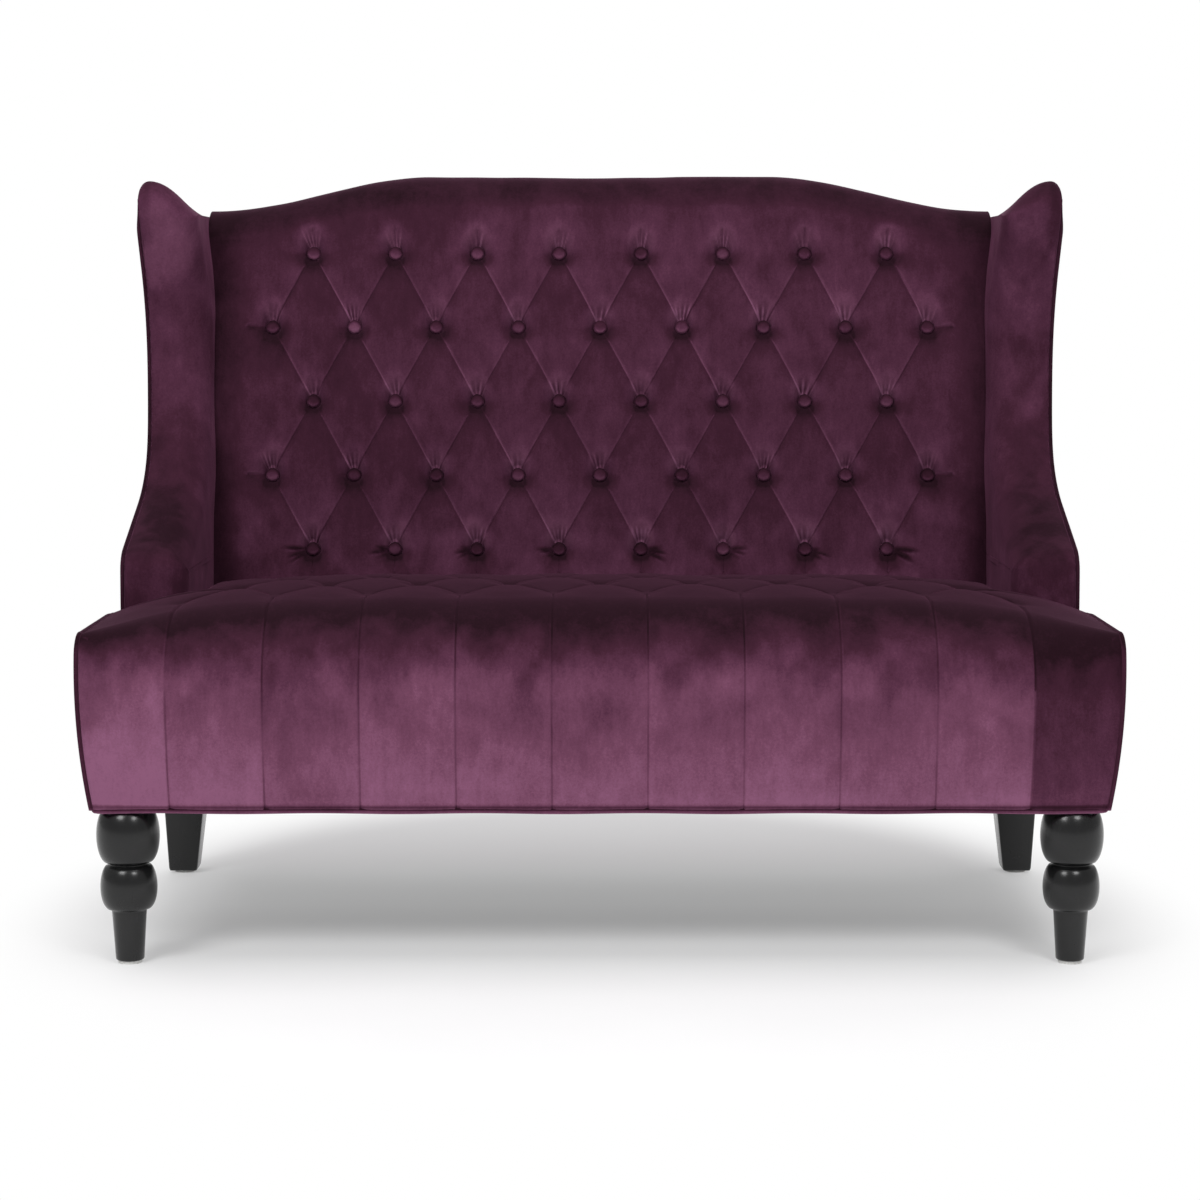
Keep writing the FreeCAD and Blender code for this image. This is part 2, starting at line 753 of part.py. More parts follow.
strap_low = back_lower_rail_height - webbing_width
strap_high = rail_low + webbing_width
column_step = back_pitch / 2
strap_places = [(k + 0.5) * column_step for k in range(int(pad_half / column_step) - 1)]
upright = [box(x - webbing_width / 2, x + webbing_width / 2, -frame_front - webbing_thickness,
               -frame_front, strap_low, strap_high) for x in strap_places]
row_middles = [(a + b) / 2 for a, b in zip(back_rows[:-1], back_rows[1:])]
cross = [box(-rail_half - back_post_width / 2, rail_half + back_post_width / 2,
             -canvas_back, -frame_front - webbing_thickness, v - webbing_width / 2,
             v + webbing_width / 2) for v in row_middles]
back_webbing = reclined(group(both_sides(upright) + cross))
back_spots = [(x, v) for k, v in enumerate(back_rows) for x in tuft_columns(k, back_columns, back_pitch)]
button_seat = back_pad_front - back_tuft_depth + least_bulge + soft_gap
toggle_front = canvas_back - soft_gap
dome_radius = tangent_radius(button_dome, button_diameter / 2)
button_sag = dome_radius - math.sqrt(dome_radius ** 2 - (button_diameter / 4) ** 2)
button_profile = Part.Wire(
    lines([Vec(0, 0, 0), Vec(button_diameter / 2, 0, 0), Vec(button_diameter / 2, 0, button_edge)])
    + [Part.Arc(Vec(button_diameter / 2, 0, button_edge),
                Vec(button_diameter / 4, 0, button_edge + button_dome - button_sag),
                Vec(0, 0, button_edge + button_dome)).toShape()]
    + lines([Vec(0, 0, button_edge + button_dome), Vec(0, 0, 0)])
)
button = Part.Face(button_profile).revolve(Vec(0, 0, 0), Z_AXIS, 360)
button.rotate(Vec(0, 0, 0), X_AXIS, 90)
buttons = []
twines = []
twine_bores = []
toggles = []
pockets = []
for x, v in back_spots:
    placed = button.copy()
    placed.translate(Vec(x, -button_seat, v))
    buttons.append(placed)
    start = Vec(x, -toggle_front, v)
    twines.append(rod(twine_diameter, button_seat - toggle_front, start, -Y_AXIS))
    twine_bores.append(rod(twine_diameter + bore_gap, button_seat - toggle_front, start, -Y_AXIS))
    low = Vec(x, -toggle_front + toggle_diameter / 2, v - toggle_length / 2)
    toggles.append(rod(toggle_diameter, toggle_length, low, Z_AXIS))
    reach = toggle_diameter / 2 + soft_gap
    pockets.append(box(x - reach, x + reach, -frame_front - reach, -toggle_front + 2 * reach,
                       v - toggle_length / 2 - soft_gap, v + toggle_length / 2 + soft_gap))
back_bores = group(twine_bores)
back_top_rail = reclined(top_rail_blank.cut(group(pockets)))
canvas_low = back_pad_bottom
canvas = box(-pad_half, pad_half, -canvas_front, -canvas_back, canvas_low, rail_low + webbing_width)
back_canvas = reclined(canvas.cut(back_bores))
back_stations = section_stations(back_last_column, pad_half, back_pitch, tuft_flat)
back_inset = fabric + soft_gap
back_block = Part.makeLoft([back_block_wire(x, back_inset) for x in back_stations], True, True)
back_foam = reclined(back_block.cut(back_bores))
back_band = Part.makeLoft([back_band_wire(x) for x in back_stations], True, True)
back_cover = reclined(back_band.cut(back_bores))

# Springs and the deck under the seat

column_gap = seat_pitch / 2
spring_places = [(2 * k + 0.5) * column_gap for k in range(spring_count_side)]
spring_rear_y = (rear_rail_front + rear_rail_rear) / 2
loop_step = (spring_rear_y - spring_front_y) / spring_loops
loop_radius = loop_step / 2
bar_half = (spring_loop_width - spring_wire) / 2 - loop_radius


def spring(x):
    edges = []
    side = 1
    for k in range(spring_loops + 1):
        y = spring_front_y + k * loop_step
        near = Vec(x - side * bar_half, y, wire_height)
        far = Vec(x + side * bar_half, y, wire_height)
        edges += lines([near, far])
        if k < spring_loops:
            bend = Vec(x + side * (bar_half + loop_radius), y + loop_radius, wire_height)
            edges.append(Part.Arc(far, bend, far + Y_AXIS * loop_step).toShape())
        side = -side
    return cord(Part.Wire(edges), spring_wire)


def clip(x, y, side):
    mouth = spring_wire / 2
    low = wire_height - mouth - clip_plate
    high = wire_height + mouth + clip_plate
    back = y - side * (mouth + clip_plate)
    front = y + side * (clip_reach - mouth)
    points = [
        Vec(x, back, low), Vec(x, front, low), Vec(x, front, low + clip_plate),
        Vec(x, back + side * clip_plate, low + clip_plate),
        Vec(x, back + side * clip_plate, high - clip_plate),
        Vec(x, front, high - clip_plate), Vec(x, front, high), Vec(x, back, high),
    ]
    piece = prism(polygon(points), X_AXIS * clip_width)
    piece.translate(Vec(-clip_width / 2, 0, 0))
    return piece


springs = both_sides([spring(x) for x in spring_places])
clips = [clip(x, spring_front_y, 1) for x in spring_places]
clips += [clip(x, spring_rear_y, -1) for x in spring_places]
clips = both_sides(clips)
tie_reach = spring_places[-1] + tie_margin
tie_height = wire_height - spring_wire / 2 - tie_wire / 2
ties = []
for a, b in zip(seat_rows[:-1], seat_rows[1:]):
    start = Vec(-tie_reach, (a + b) / 2, tie_height)
    ties.append(rod(tie_wire, 2 * tie_reach, start, X_AXIS))

# Seat cushion

seat_spots = []
for k, y in enumerate(seat_rows):
    for x in tuft_columns(k, seat_columns if k == 0 else seat_columns - 2, seat_pitch):
        seat_spots.append((x, y))
seat_stitches = []
seat_twines = []
seat_toggles = []
seat_bores = []
seat_toggle_top = insulator_bottom - soft_gap
for x, y in seat_spots:
    stitch_low = seat_top(x, y) - seat_tuft_depth + least_bulge + 3 * soft_gap
    spot = Vec(seat_point(x, y, stitch_low).x, y, stitch_low)
    seat_stitches.append(rod(seat_stitch_diameter, seat_stitch_height, spot, Z_AXIS))
    foot = Vec(spot.x, y, seat_toggle_top)
    seat_twines.append(rod(twine_diameter, stitch_low - seat_toggle_top, foot, Z_AXIS))
    seat_bores.append(rod(twine_diameter + bore_gap, stitch_low - seat_toggle_top, foot, Z_AXIS))
    low = Vec(spot.x, y - toggle_length / 2, seat_toggle_top - toggle_diameter / 2)
    seat_toggles.append(rod(toggle_diameter, toggle_length, low, Y_AXIS))
arm_notch = box(pad_half, overall_width, arm_front - soft_gap, overall_depth, 0, overall_height)
seat_cuts = group(seat_bores + both_sides([arm_notch]))
seat_deck = box(-pad_half, pad_half, front_rail_face, rear_rail_rear,
                insulator_bottom, insulator_bottom + insulator_thickness)
seat_insulator = seat_deck.cut(group(seat_bores))
seat_stations = section_stations(seat_last_column, seat_half, seat_pitch, seat_tuft_flat)
seat_inset = fabric + soft_gap
seat_block = Part.makeLoft([seat_block_wire(x, seat_inset) for x in seat_stations], True, True)
seat_foam = seat_block.cut(seat_cuts)
seat_band = Part.makeLoft([seat_band_wire(x) for x in seat_stations], True, True)
seat_cover = seat_band.cut(seat_cuts)

# Sides of the seat and their cord

end_points, end_bends = seat_path(seat_half, 0.0)
end_low = seat_point(seat_half, end_points[-1].y, cloth_bottom)
end_wire = Part.Wire(arcs(end_points, end_bends) + lines([end_points[-1], end_low, end_points[0]]))
seat_side_panel = prism(end_wire, X_AXIS * fabric).cut(arm_notch)
welt_offset = welt_diameter / 2 + soft_gap
y1, z1, y2, z2 = seat_roll(seat_half, 0.0)
end_front_radius = tangent_radius(seat_front_tuck, z1 - cloth_bottom)
end_roll_radius = tangent_radius(y2 - y1, z2 - z1)
welt_x = seat_half + fabric


def circle_spot(middle_y, radius, angle):
    spot_y = middle_y + radius * math.cos(angle)
    return seat_point(welt_x, spot_y, z1 + radius * math.sin(angle))


front_middle = y1 + end_front_radius
front_wide = end_front_radius + welt_offset
low_angle = math.pi + math.asin((z1 - cloth_bottom) / front_wide)
roll_middle = y1 + end_roll_radius
roll_wide = end_roll_radius + welt_offset
welt_end_y = arm_front - soft_gap
welt_end_z = seat_top(seat_half, welt_end_y) + welt_offset + 3 * least_bulge
to_end = math.atan2(welt_end_z - z1, welt_end_y - roll_middle)
end_distance = math.hypot(welt_end_z - z1, welt_end_y - roll_middle)
top_angle = to_end + math.acos(roll_wide / end_distance)
seat_welt_path = Part.Wire(
    arcs(
        [circle_spot(front_middle, front_wide, low_angle), circle_spot(front_middle, front_wide, math.pi)],
        [circle_spot(front_middle, front_wide, (low_angle + math.pi) / 2)],
    )
    + arcs(
        [circle_spot(roll_middle, roll_wide, math.pi), circle_spot(roll_middle, roll_wide, top_angle)],
        [circle_spot(roll_middle, roll_wide, (math.pi + top_angle) / 2)],
    )
    + lines([circle_spot(roll_middle, roll_wide, top_angle), seat_point(welt_x, welt_end_y, welt_end_z)])
)
seat_welt = cord(seat_welt_path, welt_diameter)

# Cord round the base and the dust cover inside it

base_welt_radius = base_welt_diameter / 2
base_x = seat_half * (1 - seat_side_taper) - base_welt_radius
base_y = seat_front + seat_front_tuck + base_welt_radius - fabric / 2
base_z = base_height + base_welt_radius
base_rear_y = back_plane_y(base_height, fabric) - base_welt_radius
bend = base_welt_corner * (1 - math.sqrt(0.5))
base_path = Part.Wire(
    lines([Vec(-base_x, base_rear_y, base_z), Vec(-base_x, base_y + base_welt_corner, base_z)])
    + arcs([Vec(-base_x, base_y + base_welt_corner, base_z), Vec(-base_x + base_welt_corner, base_y, base_z)],
           [Vec(-base_x + bend, base_y + bend, base_z)])
    + lines([Vec(-base_x + base_welt_corner, base_y, base_z), Vec(base_x - base_welt_corner, base_y, base_z)])
    + arcs([Vec(base_x - base_welt_corner, base_y, base_z), Vec(base_x, base_y + base_welt_corner, base_z)],
           [Vec(base_x - bend, base_y + bend, base_z)])
    + lines([Vec(base_x, base_y + base_welt_corner, base_z), Vec(base_x, base_rear_y, base_z)])
)
base_welt = cord(base_path, base_welt_diameter)
dust_x = base_x - base_welt_radius - bend
dust_front = base_y + base_welt_radius + bend
dust_sheet = box(-dust_x, dust_x, dust_front, back_plane_y(base_height, fabric + soft_gap),
                 frame_bottom - dust_cover_thickness, frame_bottom)
plate_half = plate_side / 2
plate_windows = []
leg_plates = []
for x, y in leg_spots:
    reach = plate_half + soft_gap
    plate_windows.append(box(x - reach, x + reach, y - reach, y + reach, 0, rail_top))
    leg_plates.append(box(x - plate_half, x + plate_half, y - plate_half, y + plate_half, leg_top, frame_bottom))
dust_cover = dust_sheet.cut(group(both_sides(plate_windows)))
plate_cuts = group(leg_sockets + both_sides(plate_sinks))
leg_plates = group(both_sides(leg_plates)).cut(plate_cuts)

# Wings

wing_frame_wire = wing_wire(wing_padding, rail_top, fabric, Vec(0, front_rail_rear, frame_bottom))
wing_frame_wire.translate(X_AXIS * board_inner)
wing_frame = bored(prism(wing_frame_wire, X_AXIS * wing_board))
wing_bottom = rail_top + soft_gap
over = wing_padding
frame_room = wing_slab(wing_padding - soft_gap, rail_top - over, -over, board_inner - soft_gap, wing_plane + over)
post_room = reclined(box(0, board_inner + soft_gap, -canvas_front - soft_gap, over, 0, post_top + soft_gap))
foam_x = wing_inner + fabric + soft_gap
foam_slab = wing_slab(fabric + soft_gap, wing_bottom, fabric + soft_gap, foam_x, wing_plane)
foam_slab = rolled(foam_slab, foam_x, wing_roll - soft_gap, wing_bottom, fabric + soft_gap)
wing_foam = foam_slab.cut(dome_cut(fabric + soft_gap)).cut(group([frame_room, post_room]))
outer_slab = wing_slab(0, wing_bottom, fabric + soft_gap, wing_inner, wing_plane)
outer_slab = rolled(outer_slab, wing_inner, wing_roll + fabric, wing_bottom, fabric + soft_gap)
inner_slab = wing_slab(fabric, wing_bottom - over, -over, wing_inner + fabric, wing_plane + over)
inner_slab = rolled(inner_slab, wing_inner + fabric, wing_roll, wing_bottom - over, -over)
wing_cover = outer_slab.cut(dome_cut(0.0)).cut(inner_slab.cut(dome_cut(fabric))).cut(post_room)
wing_outer_cover = wing_slab(fabric, cloth_bottom, fabric + soft_gap, wing_plane, half_body)
wing_outer_cover = wing_outer_cover.cut(dome_cut(0.0))
wing_welt_foot = seat_height - seat_end_drop + welt_diameter
wing_welt_path = Part.Wire(wing_front_edges(wing_welt_diameter / 2, wing_welt_foot, fabric)[:-2])
wing_welt_path.translate(X_AXIS * (half_body + wing_welt_diameter / 2 + soft_gap))
wing_welt = cord(wing_welt_path, wing_welt_diameter)

# Cloth over the rear of the back

panel_low = (cloth_bottom - base_height) / math.cos(lean)
panel_side = (wing_rear(ear_edge, fabric).z - base_height) / math.cos(lean)
panel_curve = Part.BSplineCurve()
panel_curve.interpolate([Vec(x, 0, crest(x) - crest_rear_drop) for x in crest_run])
panel_shoulder = crest(pad_half) - crest_rear_drop
panel_edges = lines([
    Vec(pad_half, 0, panel_shoulder), Vec(pad_half, 0, panel_side), Vec(half_body, 0, panel_side),
    Vec(half_body, 0, panel_low), Vec(-half_body, 0, panel_low), Vec(-half_body, 0, panel_side),
    Vec(-pad_half, 0, panel_side), Vec(-pad_half, 0, panel_shoulder),
])
outside_back_cover = reclined(prism(Part.Wire(panel_edges + [panel_curve.toShape()]), -Y_AXIS * fabric))

# Legs

leg_profile = Part.Wire(
    lines([
        Vec(0, 0, leg_top), Vec(0, 0, glide_height), Vec(foot_diameter / 2, 0, glide_height),
        Vec(shank_top_diameter / 2, 0, shank_top_height),
    ])
    + arcs(
        [Vec(shank_top_diameter / 2, 0, shank_top_height), Vec(neck_diameter / 2, 0, neck_height)],
        [Vec(lower_ball_diameter / 2, 0, lower_ball_height)],
    )
    + arcs(
        [Vec(neck_diameter / 2, 0, neck_height), Vec(ball_top_diameter / 2, 0, leg_top)],
        [Vec(upper_ball_diameter / 2, 0, upper_ball_height)],
    )
    + lines([Vec(ball_top_diameter / 2, 0, leg_top), Vec(0, 0, leg_top)])
)
front_leg = Part.Face(leg_profile).revolve(Vec(0, 0, 0), Z_AXIS, 360)
front_leg.translate(Vec(front_leg_x, front_leg_y, 0))
front_leg = front_leg.cut(group(leg_sockets))


def rectangle(x0, x1, y0, y1, z):
    return polygon([Vec(x0, y0, z), Vec(x1, y0, z), Vec(x1, y1, z), Vec(x0, y1, z)])


leg_shoulder = base_height - soft_gap
rear_foot_x = rear_leg_outer_x - rear_leg_foot_inset
rear_foot_y = rear_leg_y + rear_leg_rake
rear_leg = Part.makeLoft([
    rectangle(rear_foot_x - rear_leg_foot_width, rear_foot_x, rear_foot_y - rear_leg_foot_depth / 2,
              rear_foot_y + rear_leg_foot_depth / 2, glide_height),
    rectangle(rear_leg_outer_x - rear_leg_top_width, rear_leg_outer_x, rear_leg_y - rear_leg_top_depth / 2,
              rear_leg_y + rear_leg_top_depth / 2, leg_shoulder),
], True, True)
long_edges = [e for e in rear_leg.Edges if abs(e.Vertexes[0].Z - e.Vertexes[1].Z) > rear_leg_edge]
rear_leg = rear_leg.makeFillet(rear_leg_edge, long_edges)
rear_boss = box(rear_leg_x - plate_half, rear_leg_x + plate_half, rear_leg_y - plate_half,
                rear_leg_y + plate_half, leg_shoulder, leg_top)
rear_leg = rear_leg.fuse(rear_boss).cut(group(leg_sockets))
rear_glide_x = rear_foot_x - rear_leg_foot_width / 2
glides = [
    rod(glide_diameter, glide_height, Vec(front_leg_x, front_leg_y, 0), Z_AXIS),
    rod(glide_diameter, glide_height, Vec(rear_glide_x, rear_foot_y, 0), Z_AXIS),
]

# Hand over every piece

os.makedirs("parts", exist_ok=True)
pairs = {
    "side_rail": side_rail,
    "back_post": back_post,
    "wing_frame": wing_frame,
    "wing_foam": wing_foam,
    "wing_cover": wing_cover,
    "wing_outer_cover": wing_outer_cover,
    "wing_welt": wing_welt,
    "seat_side_panel": seat_side_panel,
    "seat_welt": seat_welt,
    "front_leg": front_leg,
    "rear_leg": rear_leg,
}
for name, shape in pairs.items():
    save(name + "_right", shape)
    save(name + "_left", mirrored(shape))
singles = {
    "front_rail": front_rail,
    "rear_rail": rear_rail,
    "corner_blocks": group(both_sides([front_block, rear_block])),
    "seat_stretchers": group(both_sides([stretcher])),
    "back_lower_rail": back_lower_rail,
    "back_top_rail": back_top_rail,
    "back_stiles": back_stiles,
    "back_webbing": back_webbing,
    "back_canvas": back_canvas,
    "back_foam": back_foam,
    "back_cover": back_cover,
    "back_buttons": reclined(group(buttons)),
    "back_twines": reclined(group(twines)),
    "back_toggles": reclined(group(toggles)),
    "outside_back_cover": outside_back_cover,
    "seat_springs": group(springs),
    "spring_clips": group(clips),
    "spring_ties": group(ties),
    "seat_insulator": seat_insulator,
    "seat_foam": seat_foam,
    "seat_cover": seat_cover,
    "seat_stitches": group(seat_stitches),
    "seat_twines": group(seat_twines),
    "seat_toggles": group(seat_toggles),
    "base_welt": base_welt,
    "dust_cover": dust_cover,
    "leg_plates": leg_plates,
    "leg_glides": group(both_sides(glides)),
    "leg_bolts": group(leg_bolts),
    "plate_screws": group(plate_screws),
    "frame_bolts": group(frame_bolts),
    "rail_screws": group(rail_screws),
}
for name, shape in singles.items():
    save(name, shape)
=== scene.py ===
"""Tufted two-seat settee in plum velvet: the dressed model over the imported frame."""
import logging
import math
from dataclasses import dataclass, field
from enum import Enum, IntEnum
from typing import Any, Callable, Iterable, Sequence, Union

import bmesh
import bpy
import numpy as np
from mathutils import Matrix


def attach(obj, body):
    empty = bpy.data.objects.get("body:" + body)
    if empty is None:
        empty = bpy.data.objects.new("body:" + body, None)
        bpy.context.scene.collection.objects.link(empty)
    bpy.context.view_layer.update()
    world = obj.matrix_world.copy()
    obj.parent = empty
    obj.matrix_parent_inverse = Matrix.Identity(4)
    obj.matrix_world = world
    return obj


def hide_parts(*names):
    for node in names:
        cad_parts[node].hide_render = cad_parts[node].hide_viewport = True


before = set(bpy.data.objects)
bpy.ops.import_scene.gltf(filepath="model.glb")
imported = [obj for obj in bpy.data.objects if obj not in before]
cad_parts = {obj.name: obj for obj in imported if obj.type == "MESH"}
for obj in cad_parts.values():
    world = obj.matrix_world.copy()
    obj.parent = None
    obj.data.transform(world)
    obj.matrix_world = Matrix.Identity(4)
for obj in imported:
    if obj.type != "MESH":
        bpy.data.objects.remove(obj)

log = logging.getLogger("loveseat")
Array = np.ndarray
Level = Union[Array, None]
Material = bpy.types.Material
Pair = tuple[float, float]
Piece = bpy.types.Object
Triple = tuple[float, float, float]


# Number helpers


AXIS_PRIMES = (73856093, 19349663, 83492791)
SEED_PRIME = 40503
MIX_PRIME = 1274126177
LAYER_SHIFT = 7.31
SMALL = 1e-9
PHASES = 6.28
NEAR = 0.001
HELD_LINE = 0.0008
HELD_EDGE = 0.02
SIDES = (-1.0, 1.0)
ACROSS = np.array([1.0, 0.0, 0.0])
UP = np.array([0.0, 0.0, 1.0])


def ease(share: Array) -> Array:
    """Cubic step: 3t^2 - 2t^3 of the share held between 0 and 1."""
    held = np.clip(share, 0.0, 1.0)
    return held * held * (3.0 - 2.0 * held)


def shares(count: int) -> Array:
    """Even shares from 0 up to the last one before 1, as a column."""
    return np.linspace(0.0, 1.0, count)[:-1, None]


def unit(vectors: Array) -> Array:
    """Vectors divided by their own length."""
    return vectors / np.maximum(np.linalg.norm(vectors, axis=-1, keepdims=True), 1e-12)


def grid_normals(points: Array) -> Array:
    """Normals of a grid surface: the cross product of its two central differences.

    Args:
        points: Grid of points, shape (rows, columns, 3).

    Returns:
        Unit normals of the same shape, along d(row) x d(column).
    """
    return unit(np.cross(np.gradient(points, axis=0), np.gradient(points, axis=1)))


@dataclass(frozen=True)
class SmoothNoise:
    """Random field in space: hashed numbers on a cubic lattice, eased between its corners."""

    seed: int

    def sample(self, points: Array, size: float) -> Array:
        """One layer of the field.

        Args:
            points: Places, shape (..., 3), in metres.
            size: Lattice spacing in metres.

        Returns:
            Values from 0 to 1, shape (...).
        """
        place = points / size
        cell = np.floor(place).astype(np.int64)
        share = ease(place - cell)
        total = np.zeros(points.shape[:-1])
        for corner in range(8):
            step = np.array([corner & 1, corner >> 1 & 1, corner >> 2 & 1])
            total += self._hash(cell + step) * np.prod(np.where(step, share, 1.0 - share), axis=-1)
        return total

    def _hash(self, key: Array) -> Array:
        """A number from 0 to 1 for each lattice corner, mixed from its whole coordinates and the seed."""
        mixed = self.seed * SEED_PRIME
        for axis, prime in enumerate(AXIS_PRIMES):
            mixed = mixed ^ key[..., axis] * prime
        mixed = (mixed ^ mixed >> 13) * MIX_PRIME & 0x7FFFFFFF
        return ((mixed ^ mixed >> 15) & 0xFFFF) / 0xFFFF

    def layers(self, points: Array, size: float, count: int) -> Array:
        """Sum of layers, each half as large and half as strong as the one before, from 0 to 1."""
        weights = [0.5 ** k for k in range(count)]
        parts = [w * self.sample(points + LAYER_SHIFT * k, size * w) for k, w in enumerate(weights)]
        return sum(parts) / sum(weights)


# Meshes


def grid_faces(index: Array) -> Array:
    """Four-sided faces between neighbours of a grid of vertex numbers."""
    corners = (index[:-1, :-1], index[:-1, 1:], index[1:, 1:], index[1:, :-1])
    return np.stack([c.ravel() for c in corners], axis=1)


def split_faces(index: Array, level: Array) -> Array:
    """Triangles of a grid, each cell cut along the diagonal whose ends are nearer in level.

    Args:
        index: Grid of vertex numbers.
        level: A height for each grid point, which creases follow.

    Returns:
        Triangles, shape (count, 3).
    """
    quads = grid_faces(index)
    heights = level.ravel()[grid_faces(np.arange(level.size).reshape(level.shape))]
    first = np.abs(heights[:, 0] - heights[:, 2]) <= np.abs(heights[:, 1] - heights[:, 3])
    even = np.concatenate([quads[first][:, [0, 1, 2]], quads[first][:, [0, 2, 3]]])
    odd = np.concatenate([quads[~first][:, [0, 1, 3]], quads[~first][:, [1, 2, 3]]])
    return np.concatenate([even, odd])


def zip_strip(first: Array, second: Array) -> Array:
    """Triangles between two rows of vertices with different counts.

    Both rows run from 0 to 1; their stations are merged in order, and each step adds the
    triangle of the row that moves on.

    Args:
        first: Vertex numbers of one border.
        second: Vertex numbers of the other border, in the same direction.

    Returns:
        Triangles, shape (count, 3).
    """
    steps_a = np.linspace(0.0, 1.0, len(first))[1:]
    steps_b = np.linspace(0.0, 1.0, len(second))[1:]
    stations = np.concatenate([steps_a, steps_b + SMALL])
    from_a = np.concatenate([np.ones(len(steps_a), bool), np.zeros(len(steps_b), bool)])
    moves = from_a[np.argsort(stations, kind="stable")]
    a = np.cumsum(moves) - moves
    b = np.cumsum(~moves) - ~moves
    next_a = first[np.minimum(a + 1, len(first) - 1)]
    next_b = second[np.minimum(b + 1, len(second) - 1)]
    return np.stack([first[a], np.where(moves, next_a, next_b), second[b]], axis=1)


@dataclass
class Shell:
    """Vertices and faces of a piece while it is put together."""

    points: list[Array] = field(default_factory=list)
    faces: list[Array] = field(default_factory=list)
    count: int = 0

    def grid(self, points: Array, level: Level = None) -> Array:
        """Adds a grid surface.

        Args:
            points: Grid of points, shape (rows, columns, 3).
            level: Heights that choose how its cells are cut, or None for four-sided faces.

        Returns:
            The grid's vertex numbers, shape (rows, columns).
        """
        index = np.arange(points.shape[0] * points.shape[1]).reshape(points.shape[:2]) + self.count
        self.points.append(points.reshape(-1, 3))
        self.count += index.size
        self.faces.append(grid_faces(index) if level is None else split_faces(index, level))
        return index

    def pad(self, upper: Array, lower: Array, level: Level = None) -> None:
        """Adds a closed pad: an upper grid, a lower grid, and strips that close its four borders."""
        top = self.grid(upper, level)
        low = self.grid(lower)
        ends = [(top[k], low[k]) for k in (0, -1)]
        flanks = [(top[:, k], low[:, k]) for k in (0, -1)]
        self.faces.extend(zip_strip(one, other) for one, other in ends + flanks)

    def tube(self, rings: Array) -> None:
        """Adds a tube of closed rings, shape (rings, around, 3), with a flat fan at each end."""
        count, around = rings.shape[:2]
        index = np.arange(count * around).reshape(count, around) + self.count
        self.points.append(rings.reshape(-1, 3))
        self.count += index.size
        self.faces.append(grid_faces(np.concatenate([index, index[:, :1]], axis=1)))
        for ring, row in ((rings[0], index[0]), (rings[-1], index[-1])):
            self.points.append(ring.mean(axis=0)[None])
            hub = np.full(around, self.count)
            self.count += 1
            self.faces.append(np.stack([hub, row, np.roll(row, -1)], axis=1))

    def build(self, name: str) -> Piece:
        """Makes the mesh object, with doubles merged and faces turned outwards.

        Args:
            name: The piece's name.

        Returns:
            The new object, at the origin.
        """
        points = np.concatenate(self.points)
        sizes = np.concatenate([np.full(len(f), f.shape[1]) for f in self.faces])
        corners = np.concatenate([f.ravel() for f in self.faces])
        mesh = bpy.data.meshes.new(name)
        mesh.vertices.add(len(points))
        mesh.vertices.foreach_set("co", points.ravel().astype(np.float32))
        mesh.loops.add(len(corners))
        mesh.loops.foreach_set("vertex_index", corners.astype(np.int32))
        mesh.polygons.add(len(sizes))
        mesh.polygons.foreach_set("loop_start", (np.cumsum(sizes) - sizes).astype(np.int32))
        mesh.update(calc_edges=True)
        work = bmesh.new()
        work.from_mesh(mesh)
        bmesh.ops.remove_doubles(work, verts=work.verts, dist=1e-5)
        bmesh.ops.dissolve_degenerate(work, edges=work.edges, dist=1e-6)
        bmesh.ops.recalc_face_normals(work, faces=work.faces)
        if work.calc_volume(signed=True) < 0.0:
            bmesh.ops.reverse_faces(work, faces=work.faces)
        loose = sum(not edge.is_manifold for edge in work.edges)
        log.info("%s: %d open edges", name, loose)
        work.to_mesh(mesh)
        work.free()
        mesh.shade_smooth()
        piece = bpy.data.objects.new(name, mesh)
        bpy.context.scene.collection.objects.link(piece)
        return piece


def padding(name: str, upper: Array, lower: Array, level: Level = None) -> Piece:
    """A piece that is one closed pad."""
    shell = Shell()
    shell.pad(upper, lower, level)
    return shell.build(name)


def turning(name: str, rings: Array) -> Piece:
    """A piece that is one tube."""
    shell = Shell()
    shell.tube(rings)
    return shell.build(name)


def hand(side: float) -> str:
    """Which side a piece is on, by the sign of its x."""
    return "right" if side > 0 else "left"


def carried(path: Array, radius: float, side: Array, around: int, fade: int = 0) -> Array:
    """Rings of a round cord: a circle carried along a flat path, across its tangent and a fixed side.

    Args:
        path: Points along the cord, shape (count, 3).
        radius: The cord's radius.
        side: Unit vector square to the path's plane.
        around: Points in each ring.
        fade: Rings over which the far end dies away.

    Returns:
        Rings, shape (count, around, 3).
    """
    tangent = unit(np.gradient(path, axis=0))
    across = unit(np.cross(tangent, side))
    angle = np.linspace(0.0, 2.0 * math.pi, around, endpoint=False)
    ring = np.cos(angle)[None, :, None] * side + np.sin(angle)[None, :, None] * across[:, None, :]
    thin = 1.0 - 0.85 * ease((np.arange(len(path)) - len(path) + 1.0 + fade) / max(fade, 1))
    return path[:, None, :] + radius * thin[:, None, None] * ring


def grid_area(points: Array) -> float:
    """Area of a grid surface: half the cross product of each cell's diagonals, summed."""
    one = points[1:, 1:] - points[:-1, :-1]
    other = points[1:, :-1] - points[:-1, 1:]
    return float(0.5 * np.linalg.norm(np.cross(one, other), axis=-1).sum())


def along(path: Array, step: float) -> Array:
    """A path's points set out again at an even step, measured along it."""
    gaps = np.linalg.norm(np.diff(path, axis=0), axis=1)
    run = np.concatenate([[0.0], np.cumsum(gaps)])
    stations = np.linspace(0.0, run[-1], max(2, int(round(run[-1] / step)) + 1))
    return np.stack([np.interp(stations, run, path[:, k]) for k in range(path.shape[1])], axis=1)


# Shader nodes


